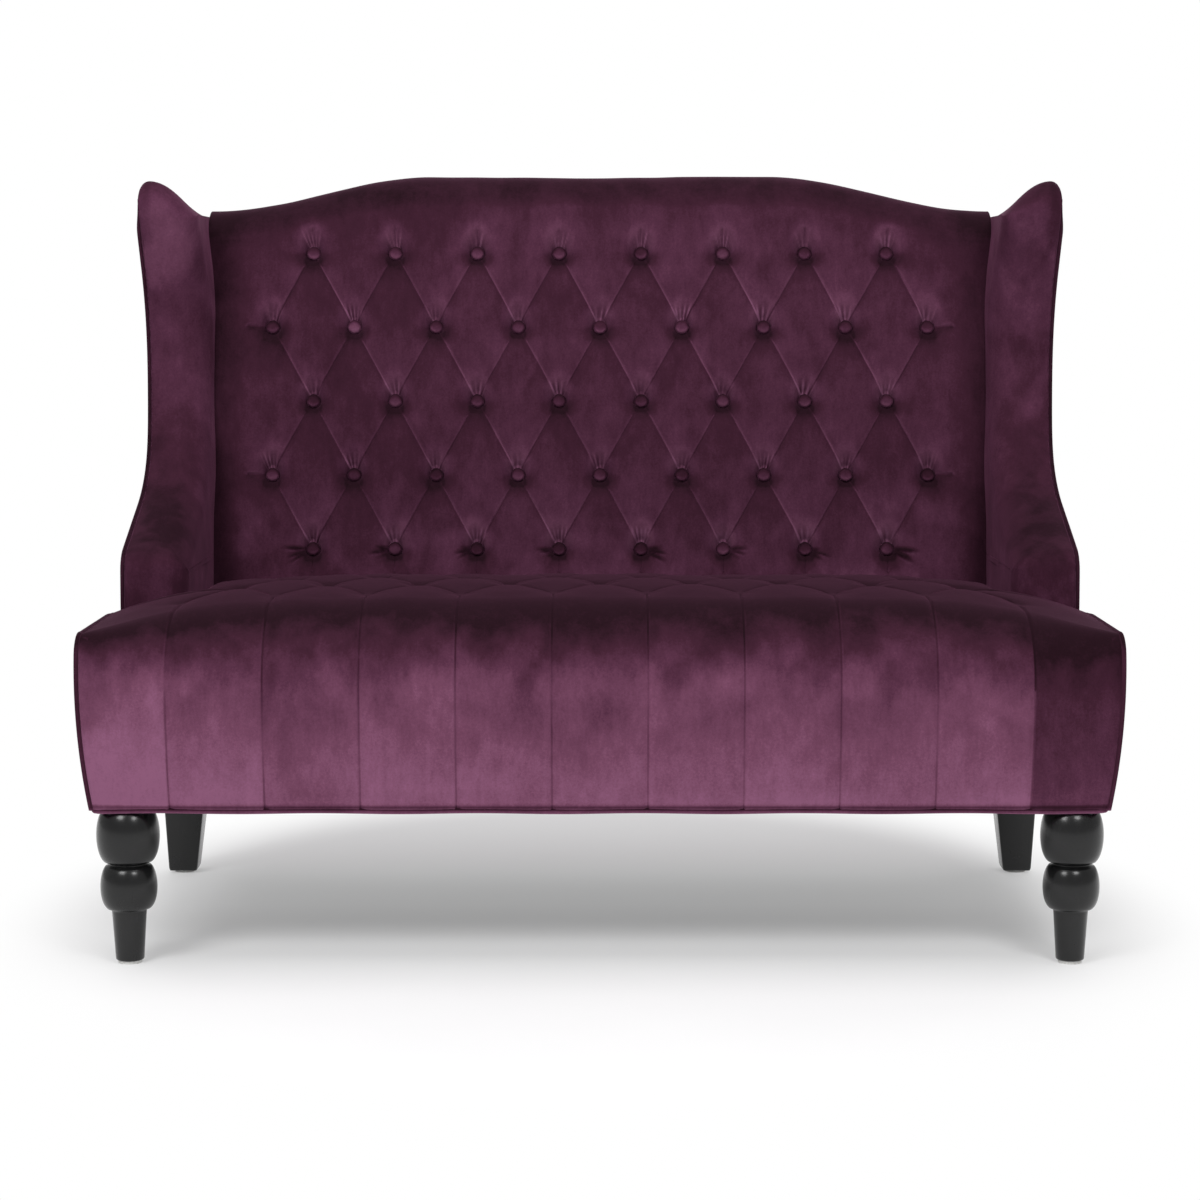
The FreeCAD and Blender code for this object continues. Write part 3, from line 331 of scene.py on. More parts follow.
class Value:
    """A node socket that takes part in Python arithmetic: each operation adds a Math node."""

    def __init__(self, graph: "Graph", socket: bpy.types.NodeSocket) -> None:
        """Holds a socket and the graph that it belongs to."""
        self.graph = graph
        self.socket = socket

    def _math(self, operation: str, one: Any, other: Any) -> "Value":
        """A Math node of that operation on two values."""
        return self.graph.node("ShaderNodeMath", {"operation": operation}, {0: one, 1: other})

    def __add__(self, other: Any) -> "Value":
        """Sum."""
        return self._math("ADD", self, other)

    __radd__ = __add__

    def __sub__(self, other: Any) -> "Value":
        """Difference."""
        return self._math("SUBTRACT", self, other)

    def __rsub__(self, other: Any) -> "Value":
        """Reflected difference."""
        return self._math("SUBTRACT", other, self)

    def __mul__(self, other: Any) -> "Value":
        """Product."""
        return self._math("MULTIPLY", self, other)

    __rmul__ = __mul__

    def band(self, low: float, high: float) -> "Value":
        """A smooth step from 0 at low to 1 at high."""
        limits = {"Value": self, "From Min": low, "From Max": high}
        return self.graph.node("ShaderNodeMapRange", {"interpolation_type": "SMOOTHSTEP"}, limits)


class Graph:
    """The nodes of one material."""

    def __init__(self, name: str) -> None:
        """Starts a material with only its output."""
        self.material = bpy.data.materials.new(name)
        self.material.use_nodes = True
        self.tree = self.material.node_tree
        self.tree.nodes.clear()
        self.output = self.tree.nodes.new("ShaderNodeOutputMaterial")

    def node(self, kind: str, settings: dict[str, Any], inputs: dict[Any, Any], out: Any = 0) -> Value:
        """Adds a node.

        Args:
            kind: The node's type.
            settings: Its settings, set first; "stops" fills a colour ramp.
            inputs: Values or links of its sockets, by name or number.
            out: The output socket, by name or number.

        Returns:
            The output as a Value.
        """
        made = self.tree.nodes.new(kind)
        for key, value in settings.items():
            if key == "stops":
                self._stops(made.color_ramp, value)
            else:
                setattr(made, key, value)
        for key, value in inputs.items():
            if isinstance(value, Value):
                self.tree.links.new(value.socket, made.inputs[key])
            else:
                made.inputs[key].default_value = value
        return Value(self, made.outputs[out])

    @staticmethod
    def _stops(ramp: bpy.types.ColorRamp, stops: Sequence[tuple[float, tuple[float, ...]]]) -> None:
        """Sets a colour ramp's stops."""
        while len(ramp.elements) < len(stops):
            ramp.elements.new(1.0)
        for element, (place, colour) in zip(ramp.elements, stops):
            element.position = place
            element.color = (*colour, 1.0)

    def place(self, stretch: Triple = (1.0, 1.0, 1.0)) -> Value:
        """Object coordinates, stretched along each axis."""
        spot = self.node("ShaderNodeTexCoord", {}, {}, "Object")
        return self.node("ShaderNodeMapping", {}, {"Vector": spot, "Scale": stretch})

    def noise(self, where: Value, scale: float, detail: float = 2.0, rough: float = 0.5) -> Value:
        """Noise from 0 to 1 at that scale."""
        inputs = {"Vector": where, "Scale": scale, "Detail": detail, "Roughness": rough}
        return self.node("ShaderNodeTexNoise", {}, inputs, "Fac")

    def attribute(self, name: str) -> Value:
        """A piece's own attribute."""
        return self.node("ShaderNodeAttribute", {"attribute_name": name}, {}, "Fac")

    def ramp(self, share: Value, stops: Sequence[tuple[float, tuple[float, ...]]]) -> Value:
        """A colour ramp over a share."""
        return self.node("ShaderNodeValToRGB", {"stops": stops}, {"Fac": share})

    def bump(self, height: Value, strength: float, distance: float) -> Value:
        """A bump normal from a height."""
        return self.node("ShaderNodeBump", {}, {"Height": height, "Strength": strength, "Distance": distance})

    def surface(self, **sockets: Any) -> Material:
        """Ends the graph in a Principled shader with these sockets, and returns the material."""
        names = {key.replace("_", " "): value for key, value in sockets.items()}
        shader = self.node("ShaderNodeBsdfPrincipled", {}, names)
        self.tree.links.new(shader.socket, self.output.inputs["Surface"])
        return self.material


# Finishes


@dataclass(frozen=True)
class Velvet:
    """Cut-pile plum velvet: colour ramps from shaded to lit plum over a piece attribute, which holds painted
    light and shade with the pile's own patches.
    """

    # Plum from the deepest painted shade to the brightest painted light.
    stops: tuple[tuple[float, Triple], ...] = (
        (0.00, (0.0130, 0.0034, 0.0068)),
        (0.35, (0.0450, 0.0122, 0.0258)),
        (0.55, (0.0820, 0.0250, 0.0520)),
        (0.80, (0.1550, 0.0540, 0.1010)),
        (1.00, (0.2450, 0.0960, 0.1740)),
    )
    patch: float = 34.0
    brushed: float = 150.0
    grain: float = 330.0
    pile: float = 900.0
    drawn: Triple = (1.0, 1.0, 0.35)
    weights: tuple[float, float, float, float] = (0.14, 0.16, 0.22, 0.12)
    hairline: Pair = (0.72, 0.92)

    def make(self) -> Material:
        """Builds the material."""
        g = Graph("plum_velvet")
        where = g.place()
        cloud = g.noise(where, self.patch, 4.0, 0.62)
        brushed = g.noise(g.place(self.drawn), self.brushed, 3.0, 0.6)
        grain = g.noise(where, self.grain, 3.0, 0.65)
        pile = g.noise(where, self.pile, 2.0, 0.7)
        # Painted highlights and shade along the creases, where closeness to a crease passes the hairline
        # band.
        tone_and_shade = g.attribute("nap_and_shade") + g.attribute("crease_shade") * g.attribute("crease").band(*self.hairline)
        for weight, layer in zip(self.weights, (cloud, brushed, grain, pile)):
            tone_and_shade = tone_and_shade + (layer - 0.5) * weight
        return g.surface(
            Base_Color=g.ramp(tone_and_shade, self.stops),
            Roughness=0.94 - 0.12 * cloud,
            Specular_IOR_Level=0.06,
            Sheen_Weight=0.15,
            Sheen_Roughness=0.42,
            Sheen_Tint=(0.84, 0.30, 0.56, 1.0),
            Normal=g.bump(pile + 0.6 * brushed, 0.35, 0.0006),
        )


@dataclass(frozen=True)
class Lacquer:
    """Satin black lacquer on turned wood, with a faint grain under it and soft paler smears."""

    tone: Triple = (0.0032, 0.0032, 0.0034)

    def make(self) -> Material:
        """Builds the material."""
        g = Graph("black_lacquer")
        grain = g.noise(g.place((1.0, 1.0, 0.06)), 420.0, 4.0, 0.6)
        peel = g.noise(g.place(), 260.0, 2.0, 0.5)
        smear = g.noise(g.place(), 28.0, 3.0, 0.6)
        pale = tuple(2.1 * c for c in self.tone)
        return g.surface(
            Base_Color=g.ramp(grain * 0.6 + smear * 0.4, ((0.25, self.tone), (0.85, pale))),
            Roughness=0.19 + 0.10 * smear + 0.04 * grain,
            Specular_IOR_Level=0.38,
            Coat_Weight=0.20,
            Coat_Roughness=0.16,
            Normal=g.bump(peel * 0.6 + grain * 0.4, 0.06, 0.0005),
        )


@dataclass(frozen=True)
class Timber:
    """Planed pale softwood: growth rings drawn out along the board."""

    early: Triple = (0.56, 0.39, 0.21)
    late: Triple = (0.36, 0.21, 0.09)
    stretch: Triple = (0.25, 1.0, 1.0)

    def make(self) -> Material:
        """Builds the material."""
        g = Graph("frame_timber")
        rings = g.noise(g.place(self.stretch), 55.0, 5.0, 0.65)
        pores = g.noise(g.place(tuple(3.0 * s for s in self.stretch)), 300.0, 3.0, 0.6)
        return g.surface(
            Base_Color=g.ramp(rings * 0.75 + pores * 0.25, ((0.3, self.late), (0.6, self.early))),
            Roughness=0.58 + 0.2 * pores,
            Normal=g.bump(pores, 0.2, 0.0008),
        )


@dataclass(frozen=True)
class Metal:
    """Zinc-plated steel with fine drawing marks and dull patches."""

    bright: Triple = (0.62, 0.63, 0.65)
    dull: Triple = (0.36, 0.37, 0.40)

    def make(self) -> Material:
        """Builds the material."""
        g = Graph("zinc_steel")
        patch = g.noise(g.place(), 60.0, 4.0, 0.6)
        marks = g.noise(g.place((1.0, 0.1, 1.0)), 700.0, 2.0, 0.6)
        return g.surface(
            Base_Color=g.ramp(patch, ((0.3, self.dull), (0.7, self.bright))),
            Metallic=0.85 + 0.15 * patch,
            Roughness=0.30 + 0.18 * marks,
            Normal=g.bump(marks, 0.15, 0.0003),
        )


@dataclass(frozen=True)
class Cloth:
    """Plain woven stuff: crossing threads with slubs, in two tones."""

    name: str
    light: Triple
    dark: Triple
    thread: float = 700.0

    def make(self) -> Material:
        """Builds the material."""
        g = Graph(self.name)
        warp = g.noise(g.place((1.0, 0.12, 0.12)), self.thread, 2.0, 0.5)
        weft = g.noise(g.place((0.12, 1.0, 1.0)), self.thread, 2.0, 0.5)
        slub = g.noise(g.place(), 45.0, 3.0, 0.6)
        weave = warp * 0.5 + weft * 0.5
        return g.surface(
            Base_Color=g.ramp(weave * 0.7 + slub * 0.3, ((0.35, self.dark), (0.65, self.light))),
            Roughness=0.80 + 0.15 * slub,
            Sheen_Weight=0.15,
            Normal=g.bump(weave, 0.4, 0.0006),
        )


@dataclass(frozen=True)
class Plastic:
    """Milky glide plastic, scuffed underneath."""

    clean: Triple = (0.78, 0.78, 0.76)
    scuffed: Triple = (0.55, 0.54, 0.52)

    def make(self) -> Material:
        """Builds the material."""
        g = Graph("glide_plastic")
        scuff = g.noise(g.place(), 320.0, 4.0, 0.7)
        return g.surface(
            Base_Color=g.ramp(scuff, ((0.3, self.scuffed), (0.6, self.clean))),
            Roughness=0.35 + 0.25 * scuff,
            Normal=g.bump(scuff, 0.12, 0.0004),
        )


class Finish(Enum):
    """The finishes, each with the record's slot and the recipe that makes it."""

    VELVET = ("velvet", Velvet())
    LACQUER = ("leg_lacquer", Lacquer())
    TIMBER = ("frame_timber", Timber())
    STEEL = ("steel", Metal())
    JUTE = ("jute", Cloth("jute", (0.42, 0.31, 0.17), (0.24, 0.16, 0.08)))
    DUST = ("dust_cloth", Cloth("dust_cloth", (0.032, 0.032, 0.034), (0.012, 0.012, 0.013), 900.0))
    GLIDE = ("glide_plastic", Plastic())


@dataclass
class Workshop:
    """Makes each finish once and puts pieces into the frame."""

    made: dict[Finish, Material] = field(default_factory=dict)

    def material(self, finish: Finish) -> Material:
        """The finish's material, made on first use."""
        if finish not in self.made:
            self.made[finish] = finish.value[1].make()
        return self.made[finish]

    def dress(self, piece: Piece, finish: Finish, nodes: Iterable[str]) -> Piece:
        """Gives a new piece its finish and its body, and hides the CAD nodes that it stands for.

        Args:
            piece: The new piece.
            finish: Its finish.
            nodes: The CAD nodes that it replaces.

        Returns:
            The piece.
        """
        piece.data.materials.append(self.material(finish))
        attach(piece, "root")
        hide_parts(*nodes)
        log.info("%s: %d faces", piece.name, len(piece.data.polygons))
        return piece

    def keep(self, finish: Finish, names: Iterable[str]) -> None:
        """Gives CAD nodes that stay their finish."""
        for name in names:
            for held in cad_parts[name].material_slots:
                held.material = self.material(finish)
            log.info("%s: kept", name)


@dataclass(frozen=True)
class Layer:
    """One layer of brushed nap: its size, its stretch along each axis, its start and its octaves."""

    size: float
    drawn: Triple
    shift: float
    octaves: int

    def at(self, noise: SmoothNoise, spots: Array) -> Array:
        """Values from 0 to 1 at each place."""
        return noise.layers(spots * np.array(self.drawn) + self.shift, self.size, self.octaves)


BROAD = Layer(0.13, (1.0, 1.0, 0.8), 0.0, 3)
PATCH = Layer(0.045, (1.0, 1.0, 0.55), 3.0, 3)
STREAK = Layer(0.010, (1.0, 1.0, 0.16), 9.0, 2)
FINE = Layer(0.020, (1.0, 1.0, 0.7), 5.0, 3)
DRIFT = Layer(0.06, (1.0, 1.0, 1.0), 1.7, 2)


@dataclass(frozen=True)
class NapAndShade:
    """Tone of the velvet: painted light where cloth faces down and painted shade where it faces up, plus the
    pile's own patches.

    Caps hold back how much a slope that faces up, or one that faces under, can change it.
    """

    middle: float = 0.42
    fall: float = 0.50
    power: float = 1.5
    cap: float = 4.0
    under: float = 4.0
    broad: float = 0.07
    patch: float = 0.06
    streak: float = 0.03
    fine: float = 0.05
    sway: Triple = (0.05, 0.02, 0.04)
    patch_edge: Pair = (0.38, 0.2)
    noise: SmoothNoise = SmoothNoise(11)

    def mottle(self, spots: Array) -> Array:
        """Brushed nap: broad clouds, patches with crisp edges, streaks drawn downwards, small spots."""
        warped = spots + np.array(self.sway) * (DRIFT.at(self.noise, spots)[..., None] - 0.5)
        broad = BROAD.at(self.noise, warped) - 0.5
        patch = ease((PATCH.at(self.noise, warped) - self.patch_edge[0]) / self.patch_edge[1]) - 0.5
        streak = STREAK.at(self.noise, spots) - 0.5
        fine = FINE.at(self.noise, warped) - 0.5
        return 2.0 * (self.broad * broad + self.streak * streak + self.fine * fine) + self.patch * patch

    def brush(
        self,
        piece: Piece,
        shade: Callable[[Array], Array] = lambda spots: 0.0,
        crease_shading: Union[Callable[[Array], tuple[Array, Array]], None] = None,
    ) -> None:
        """Writes the tone attribute: middle - fall * (upward normal)^power, capped, as painted shade and
        light, + patches + shade.

        Args:
            piece: The velvet piece.
            shade: Painted light and shade that the piece's own construction adds at each place.
            crease_shading: Closeness to a crease and the painted highlight and shade along it at each place,
                written as two crease attributes.
        """
        mesh = piece.data
        spots = np.empty(len(mesh.vertices) * 3, np.float32)
        mesh.vertices.foreach_get("co", spots)
        spots = spots.reshape(-1, 3).astype(float)
        normals = np.empty(spots.size, np.float32)
        mesh.vertex_normals.foreach_get("vector", normals)
        upward = normals.reshape(-1, 3)[:, 2]
        # Painted shade where the cloth faces up and painted light where it faces down, by the vertex normal.
        cap = np.where(upward > 0.0, self.cap, self.under)
        bent = np.sign(upward) * cap * np.tanh(np.abs(upward) ** self.power / cap)
        tone_and_shade = self.middle - self.fall * bent + self.mottle(spots) + shade(spots)
        fields = {"nap_and_shade": np.clip(tone_and_shade, 0.0, 1.0)}
        if crease_shading is not None:
            fields["crease"], fields["crease_shade"] = crease_shading(spots)
        for name, values in fields.items():
            mesh.attributes.new(name, "FLOAT", "POINT").data.foreach_set("value", values.astype(np.float32))


# Tufting


class Draw(IntEnum):
    """What each random number of a tuft is for."""

    SWAY = 50
    PHASE = 60
    PITCH = 61
    STRENGTH = 62
    SIDE = 63
    BUTTON = 70
    SHARE = 90


@dataclass(frozen=True)
class Fan:
    """Gathered cloth at a tuft: number of ridges, half angle in radians, and the longest ridge."""

    count: int
    spread: float
    reach: float


@dataclass(frozen=True)
class Gore:
    """A soft wedge of painted light and shade that opens away from a tuft.

    It starts and ends at distances ahead of the tuft, each eased over a run; its half width grows
    with the distance by a spread, and its sides are soft.
    """

    start: Pair
    end: Pair
    half: float
    spread: float
    soft: float

    def weight(self, ahead: Array, aside: Array) -> Array:
        """Weight from 0 to 1 at a distance ahead of the tuft and aside from its axis."""
        length = ease((ahead - self.start[0]) / self.start[1]) * ease((self.end[0] - ahead) / self.end[1])
        return length * ease((self.half + self.spread * ahead - aside) / self.soft)


@dataclass(frozen=True)
class Fold:
    """The nearest crease at each place: its distance, its side, its slant and the share run along it."""

    distance: Array
    above: Array
    slant: Array
    share: Array
    reach: float = 0.006

    @property
    def close(self) -> Array:
        """Closeness to the crease: 1 on it, falling to 0 at the reach."""
        return np.maximum(1.0 - self.distance / self.reach, 0.0)


@dataclass(frozen=True)
class Tufting:
    """Creases and tufts set out on a flat map of the cloth, u across and v up the map."""

    starts: Array
    ends: Array
    tufts: Array
    seed: int
    least_slant: float = 0.01
    ridge_start: float = 0.006
    ridge_width: Triple = (0.0010, 0.0010, 0.036)
    rounds: int = 300
    relax: float = 1.95

    def crease(self, u: Array, v: Array) -> Fold:
        """The nearest crease at each place of the map."""
        best, above, slant, run = (np.full(u.shape, start) for start in (np.inf, 0.0, 0.0, 0.0))
        for (u0, v0), (u1, v1) in zip(self.starts, self.ends):
            du, dv = u1 - u0, v1 - v0
            share = np.clip(((u - u0) * du + (v - v0) * dv) / (du * du + dv * dv), 0.0, 1.0)
            off_u, off_v = u - u0 - share * du, v - v0 - share * dv
            gap = np.hypot(off_u, off_v)
            closer = gap < best
            best = np.where(closer, gap, best)
            above = np.where(closer, off_v / np.maximum(gap, 1e-6), above)
            slant = np.where(closer, np.sign(du) * (min(abs(du), abs(dv)) > self.least_slant), slant)
            run = np.where(closer, share, run)
        return Fold(best, above, slant, run)

    def gathers(self, across: Array, rise: Array, which: Array, fan: Fan) -> Array:
        """Ridges of gathered cloth that fan up from each tuft: narrow crests along random directions.

        Args:
            across: Offset across from the nearest tuft.
            rise: Offset up from the nearest tuft.
            which: Number of the nearest tuft.
            fan: The gathers' number, half angle and reach.

        Returns:
            Ridge heights, about 0 to 1.
        """
        total = np.zeros(across.shape)
        least, extra, growth = self.ridge_width
        for number in range(fan.count):
            turn, size, girth, height = (self.jitter(which, 10 * number + salt) for salt in (1, 2, 3, 4))
            angle = fan.spread * ((2.0 * number + 1.0) / fan.count - 1.0 + (turn - 0.5) * 1.4 / fan.count)
            along_it = across * np.sin(angle) + rise * np.cos(angle)
            beside = across * np.cos(angle) - rise * np.sin(angle)
            length = fan.reach * (0.5 + 0.5 * size)
            width = least + extra * girth + growth * np.maximum(along_it, 0.0)
            rising = ease((along_it - self.ridge_start) / self.ridge_start)
            body = rising * ease((length - along_it) / (0.6 * length))
            total += (0.45 + 0.55 * height) * body * np.exp(-(beside / width) ** 2)
        return total

    def nearest(self, u: Array, v: Array) -> tuple[Array, Array, Array]:
        """Offsets to the nearest tuft, and that tuft's number."""
        best = np.full(u.shape, np.inf)
        across, up, which = np.zeros(u.shape), np.zeros(u.shape), np.zeros(u.shape, int)
        for number, (u0, v0) in enumerate(self.tufts):
            gap = np.hypot(u - u0, v - v0)
            closer = gap < best
            best = np.where(closer, gap, best)
            across = np.where(closer, u - u0, across)
            up = np.where(closer, v - v0, up)
            which = np.where(closer, number, which)
        return across, up, which

    def membrane(self, distance: Array, du: float, dv: float, reach: float) -> Array:
        """Swell of the cloth between its creases, from 0 on a crease to about 1.

        It is the shape of a pressed skin held along the creases: its curvature is even
        everywhere (Poisson's equation), found by red and black over-relaxation on the map.

        Args:
            distance: Distance to the nearest crease on the grid.
            du: Grid step across.
            dv: Grid step up.
            reach: Distance from crease to middle in a whole diamond.

        Returns:
            The swell on the grid.
        """
        free = distance > 0.4 * min(du, dv)
        wu, wv = 1.0 / du ** 2, 1.0 / dv ** 2
        rows, columns = np.indices(distance.shape)
        halves = [free & ((rows + columns) % 2 == colour) for colour in (0, 1)]
        skin = np.zeros(distance.shape)
        for _ in range(self.rounds):
            for half in halves:
                wide = np.pad(skin, 1, mode="edge")
                pull = wv * (wide[:-2, 1:-1] + wide[2:, 1:-1]) + wu * (wide[1:-1, :-2] + wide[1:-1, 2:])
                target = (pull + 1.0) / (2.0 * (wu + wv))
                skin = np.where(half, skin + self.relax * (target - skin), skin)
        share = np.maximum(skin, 0.0) / (0.42 * reach ** 2)
        return share / (1.0 + share ** 4) ** 0.25

    def jitter(self, which: Array, salt: int) -> Array:
        """A random number from 0 to 1 for each tuft, spread over the grid."""
        return np.random.default_rng(self.seed + salt).random(len(self.tufts))[which]


def diamonds(
    rows: Sequence[float], columns: Callable[[int], Array], pitch: float
) -> tuple[list[Pair], list[Pair]]:
    """Starts and ends of the creases from each tuft to its neighbours, half a pitch aside in the next row."""
    starts, ends = [], []
    for k in range(len(rows) - 1):
        for x in columns(k):
            for step in (-0.5, 0.5):
                if np.min(np.abs(columns(k + 1) - x - step * pitch)) < NEAR:
                    starts.append((x, rows[k]))
                    ends.append((x + step * pitch, rows[k + 1]))
    return starts, ends


@dataclass(frozen=True)
class Press:
    """Lets a tufted cloth settle: creases, tufts and borders are held, and pressure fills the rest."""

    frames: int = 16
    pressure: float = 4.0
    limit: float = 0.0030
    stride: int = 4
    quality: int = 5
    stretch: float = 10.0
    shear: float = 5.0
    bending: float = 1.2
    smoothing: tuple[int, ...] = (1, 2, 3)

    def settle(self, points: Array, held: Array, turned: bool, through: tuple[int, int]) -> Array:
        """Runs the cloth solver on every fourth row and column, and spreads what it moves over the grid.

        Args:
            points: The fine grid.
            held: Which of its points stay where they are.
            turned: Whether the grid's faces look inwards.
            through: A row and a column that the coarse grid has to hold.

        Returns:
            How far each fine point moves, shape (rows, columns, 3).
        """
        picks = []
        for size, fixed in zip(held.shape, through):
            inner = np.arange(fixed % self.stride, size, self.stride)
            picks.append(np.unique(np.concatenate([[0], inner, [size - 1]])))
        coarse = points[picks[0]][:, picks[1]]
        index = np.arange(coarse.shape[0] * coarse.shape[1]).reshape(coarse.shape[:2])
        faces = grid_faces(index)
        mesh = bpy.data.meshes.new("press")
        mesh.from_pydata(coarse.reshape(-1, 3).tolist(), [], (faces[:, ::-1] if turned else faces).tolist())
        piece = bpy.data.objects.new("press", mesh)
        scene = bpy.context.scene
        scene.collection.objects.link(piece)
        group = piece.vertex_groups.new(name="held")
        group.add(index[held[picks[0]][:, picks[1]]].tolist(), 1.0, "REPLACE")
        self._solver(piece)
        for number in range(1, self.frames + 1):
            scene.frame_set(number)
        shaped = piece.evaluated_get(bpy.context.evaluated_depsgraph_get()).data
        settled = np.empty(coarse.size, np.float32)
        shaped.vertices.foreach_get("co", settled)
        move = settled.reshape(coarse.shape) - coarse
        bpy.data.objects.remove(piece, do_unlink=True)
        bpy.data.meshes.remove(mesh)
        scene.frame_set(1)
        size = np.linalg.norm(move, axis=-1, keepdims=True)
        log.info("cloth moved %.1f mm at most", 1000.0 * float(size.max()))
        move = move * self.limit * np.tanh(size / self.limit) / np.maximum(size, SMALL)
        down = self._spread(move, picks[0], held.shape[0])
        return self._spread(down.swapaxes(0, 1), picks[1], held.shape[1]).swapaxes(0, 1)

    def _solver(self, piece: Piece) -> None:
        """Adds the cloth solver: no weight and an even pressure, so that the cloth is taut."""
        cloth = piece.modifiers.new("press", "CLOTH")
        cloth.point_cache.frame_end = self.frames
        cloth.collision_settings.use_collision = False
        settings = cloth.settings
        settings.quality = self.quality
        settings.tension_stiffness = self.stretch
        settings.compression_stiffness = self.stretch
        settings.shear_stiffness = self.shear
        settings.bending_stiffness = self.bending
        settings.vertex_group_mass = "held"
        settings.use_pressure = True
        settings.uniform_pressure_force = self.pressure
        settings.effector_weights.gravity = 0.0

    def _spread(self, values: Array, known: Array, count: int) -> Array:
        """Values at known places along the first axis, drawn over all places and smoothed."""
        places = np.arange(count)
        high = np.clip(np.searchsorted(known, places), 1, len(known) - 1)
        share = ((places - known[high - 1]) / (known[high] - known[high - 1]))[:, None, None]
        drawn = values[high - 1] * (1.0 - share) + values[high] * share
        for step in self.smoothing:
            wide = np.concatenate([drawn[:1]] * step + [drawn] + [drawn[-1:]] * step)
            drawn = 0.25 * wide[:count] + 0.5 * drawn + 0.25 * wide[2 * step:]
        return drawn


# The back


@dataclass(frozen=True)
class Flare:
    """How far the wings spread outwards with height: inner faces towards the crest, outer ones to the ear."""

    inner: float = 0.011
    inner_from: float = 0.80
    inner_run: float = 0.17
    outer: float = 0.0075
    outer_from: float = 0.47
    outer_run: float = 0.50
    outer_most: float = 1.1
    outer_power: float = 1.5

    def inside(self, z: Array) -> Array:
        """Spread of the inner faces at a height: an eased step."""
        return self.inner * ease((z - self.inner_from) / self.inner_run)

    def outside(self, z: Array) -> Array:
        """Spread of the outer faces at a height: a power of the share of the rise."""
        share = np.clip((z - self.outer_from) / self.outer_run, 0.0, self.outer_most)
        return self.outer * share ** self.outer_power


@dataclass(frozen=True)
class Relief:
    """Depths and widths of a tufted cushion's creases, funnels and gathers; as given, those of the back."""

    diamond: float = 0.0516
    puff: float = 0.0042
    puff_power: float = 0.55
    groove: float = 0.0007
    groove_width: float = 0.0011
    lip: float = 0.0006
    lip_at: float = 0.002
    lip_width: float = 0.0035
    floor: float = 0.0088
    mouth: float = 0.0078
    mouth_power: float = 1.1
    rim: float = 0.040
    rim_fade: float = 0.024
    gather: float = 0.0030
    uneven: float = 0.006
    uneven_size: float = 0.15
    edge: float = 0.05
    held: float = 0.012

    def crack(self, distance: Array) -> Array:
        """Depth of the groove at a distance from a crease."""
        return self.groove * np.exp(-distance / self.groove_width)

    def lap(self, distance: Array) -> Array:
        """Height of the lip that laps over a crease, at a distance from it."""
        return self.lip * np.exp(-((distance - self.lip_at) / self.lip_width) ** 2)

    def funnel(self, radius: Array) -> Array:
        """How far the cloth is drawn in round a tuft: 1 over its floor, 0 from its rim on."""
        mouth = np.maximum(radius - self.floor, 0.0) / self.mouth
        return np.exp(-mouth ** self.mouth_power) * ease((self.rim - radius) / self.rim_fade)

    def hold(self, distance: Array, radius: Array, edge: Array) -> Array:
        """What the cloth solver leaves in place: creases, tufts and borders."""
        held = (distance < HELD_LINE) | (radius < self.held) | (edge < HELD_EDGE)
        held[[0, -1]] = True
        return held


@dataclass(frozen=True)
class TuftShading:
    """Painted light and shade round the back's tufts: places in metres, strengths on the scale of the tone
    attribute.

    A comb of painted highlights and shade lies in the gore over each tuft, and a painted shadow and a fainter
    wedge of painted shade under it.
    """

    gore: Gore = Gore((0.005, 0.005), (0.036, 0.024), 0.0060, 0.38, 0.004)
    shadow: Gore = Gore((0.004, 0.005), (0.021, 0.011), 0.0155, 0.0, 0.009)
    wedge: Gore = Gore((0.004, 0.006), (0.056, 0.048), 0.007, 0.50, 0.007)
    sway: float = 0.30
    sway_from: float = 0.008
    hub: float = 0.010
    teeth: Pair = (22.0, 18.0)
    comb_middle: float = 0.35
    comb_strength: Pair = (0.25, 0.95)
    comb_side: Pair = (0.6, 0.8)
    gore_light: float = 0.15
    gore_comb: float = 0.52
    shadow_dark: float = 0.48
    wedge_dark: float = 0.10
    fold_dark: float = 0.75
    fold_run: float = 0.0225
    strength: Pair = (0.55, 0.9)
    wing_run: float = 0.060
    wing_dark: float = 0.22
    patchy_size: float = 0.055
    patchy_edge: Pair = (0.50, 0.20)
    patchy: Pair = (0.6, 1.4)
    low_run: float = 0.09
    low_light: float = 0.08
    left: Triple = (0.05, -0.12, 0.28)
    crest: Pair = (0.04, 0.08)


BUTTON_PROFILE = np.array([
    (0.28, 0.0085), (0.52, 0.0082), (0.72, 0.0075), (0.87, 0.0062), (0.96, 0.0044),
    (1.0, 0.0022), (0.97, -0.0012), (0.86, -0.0040),
])


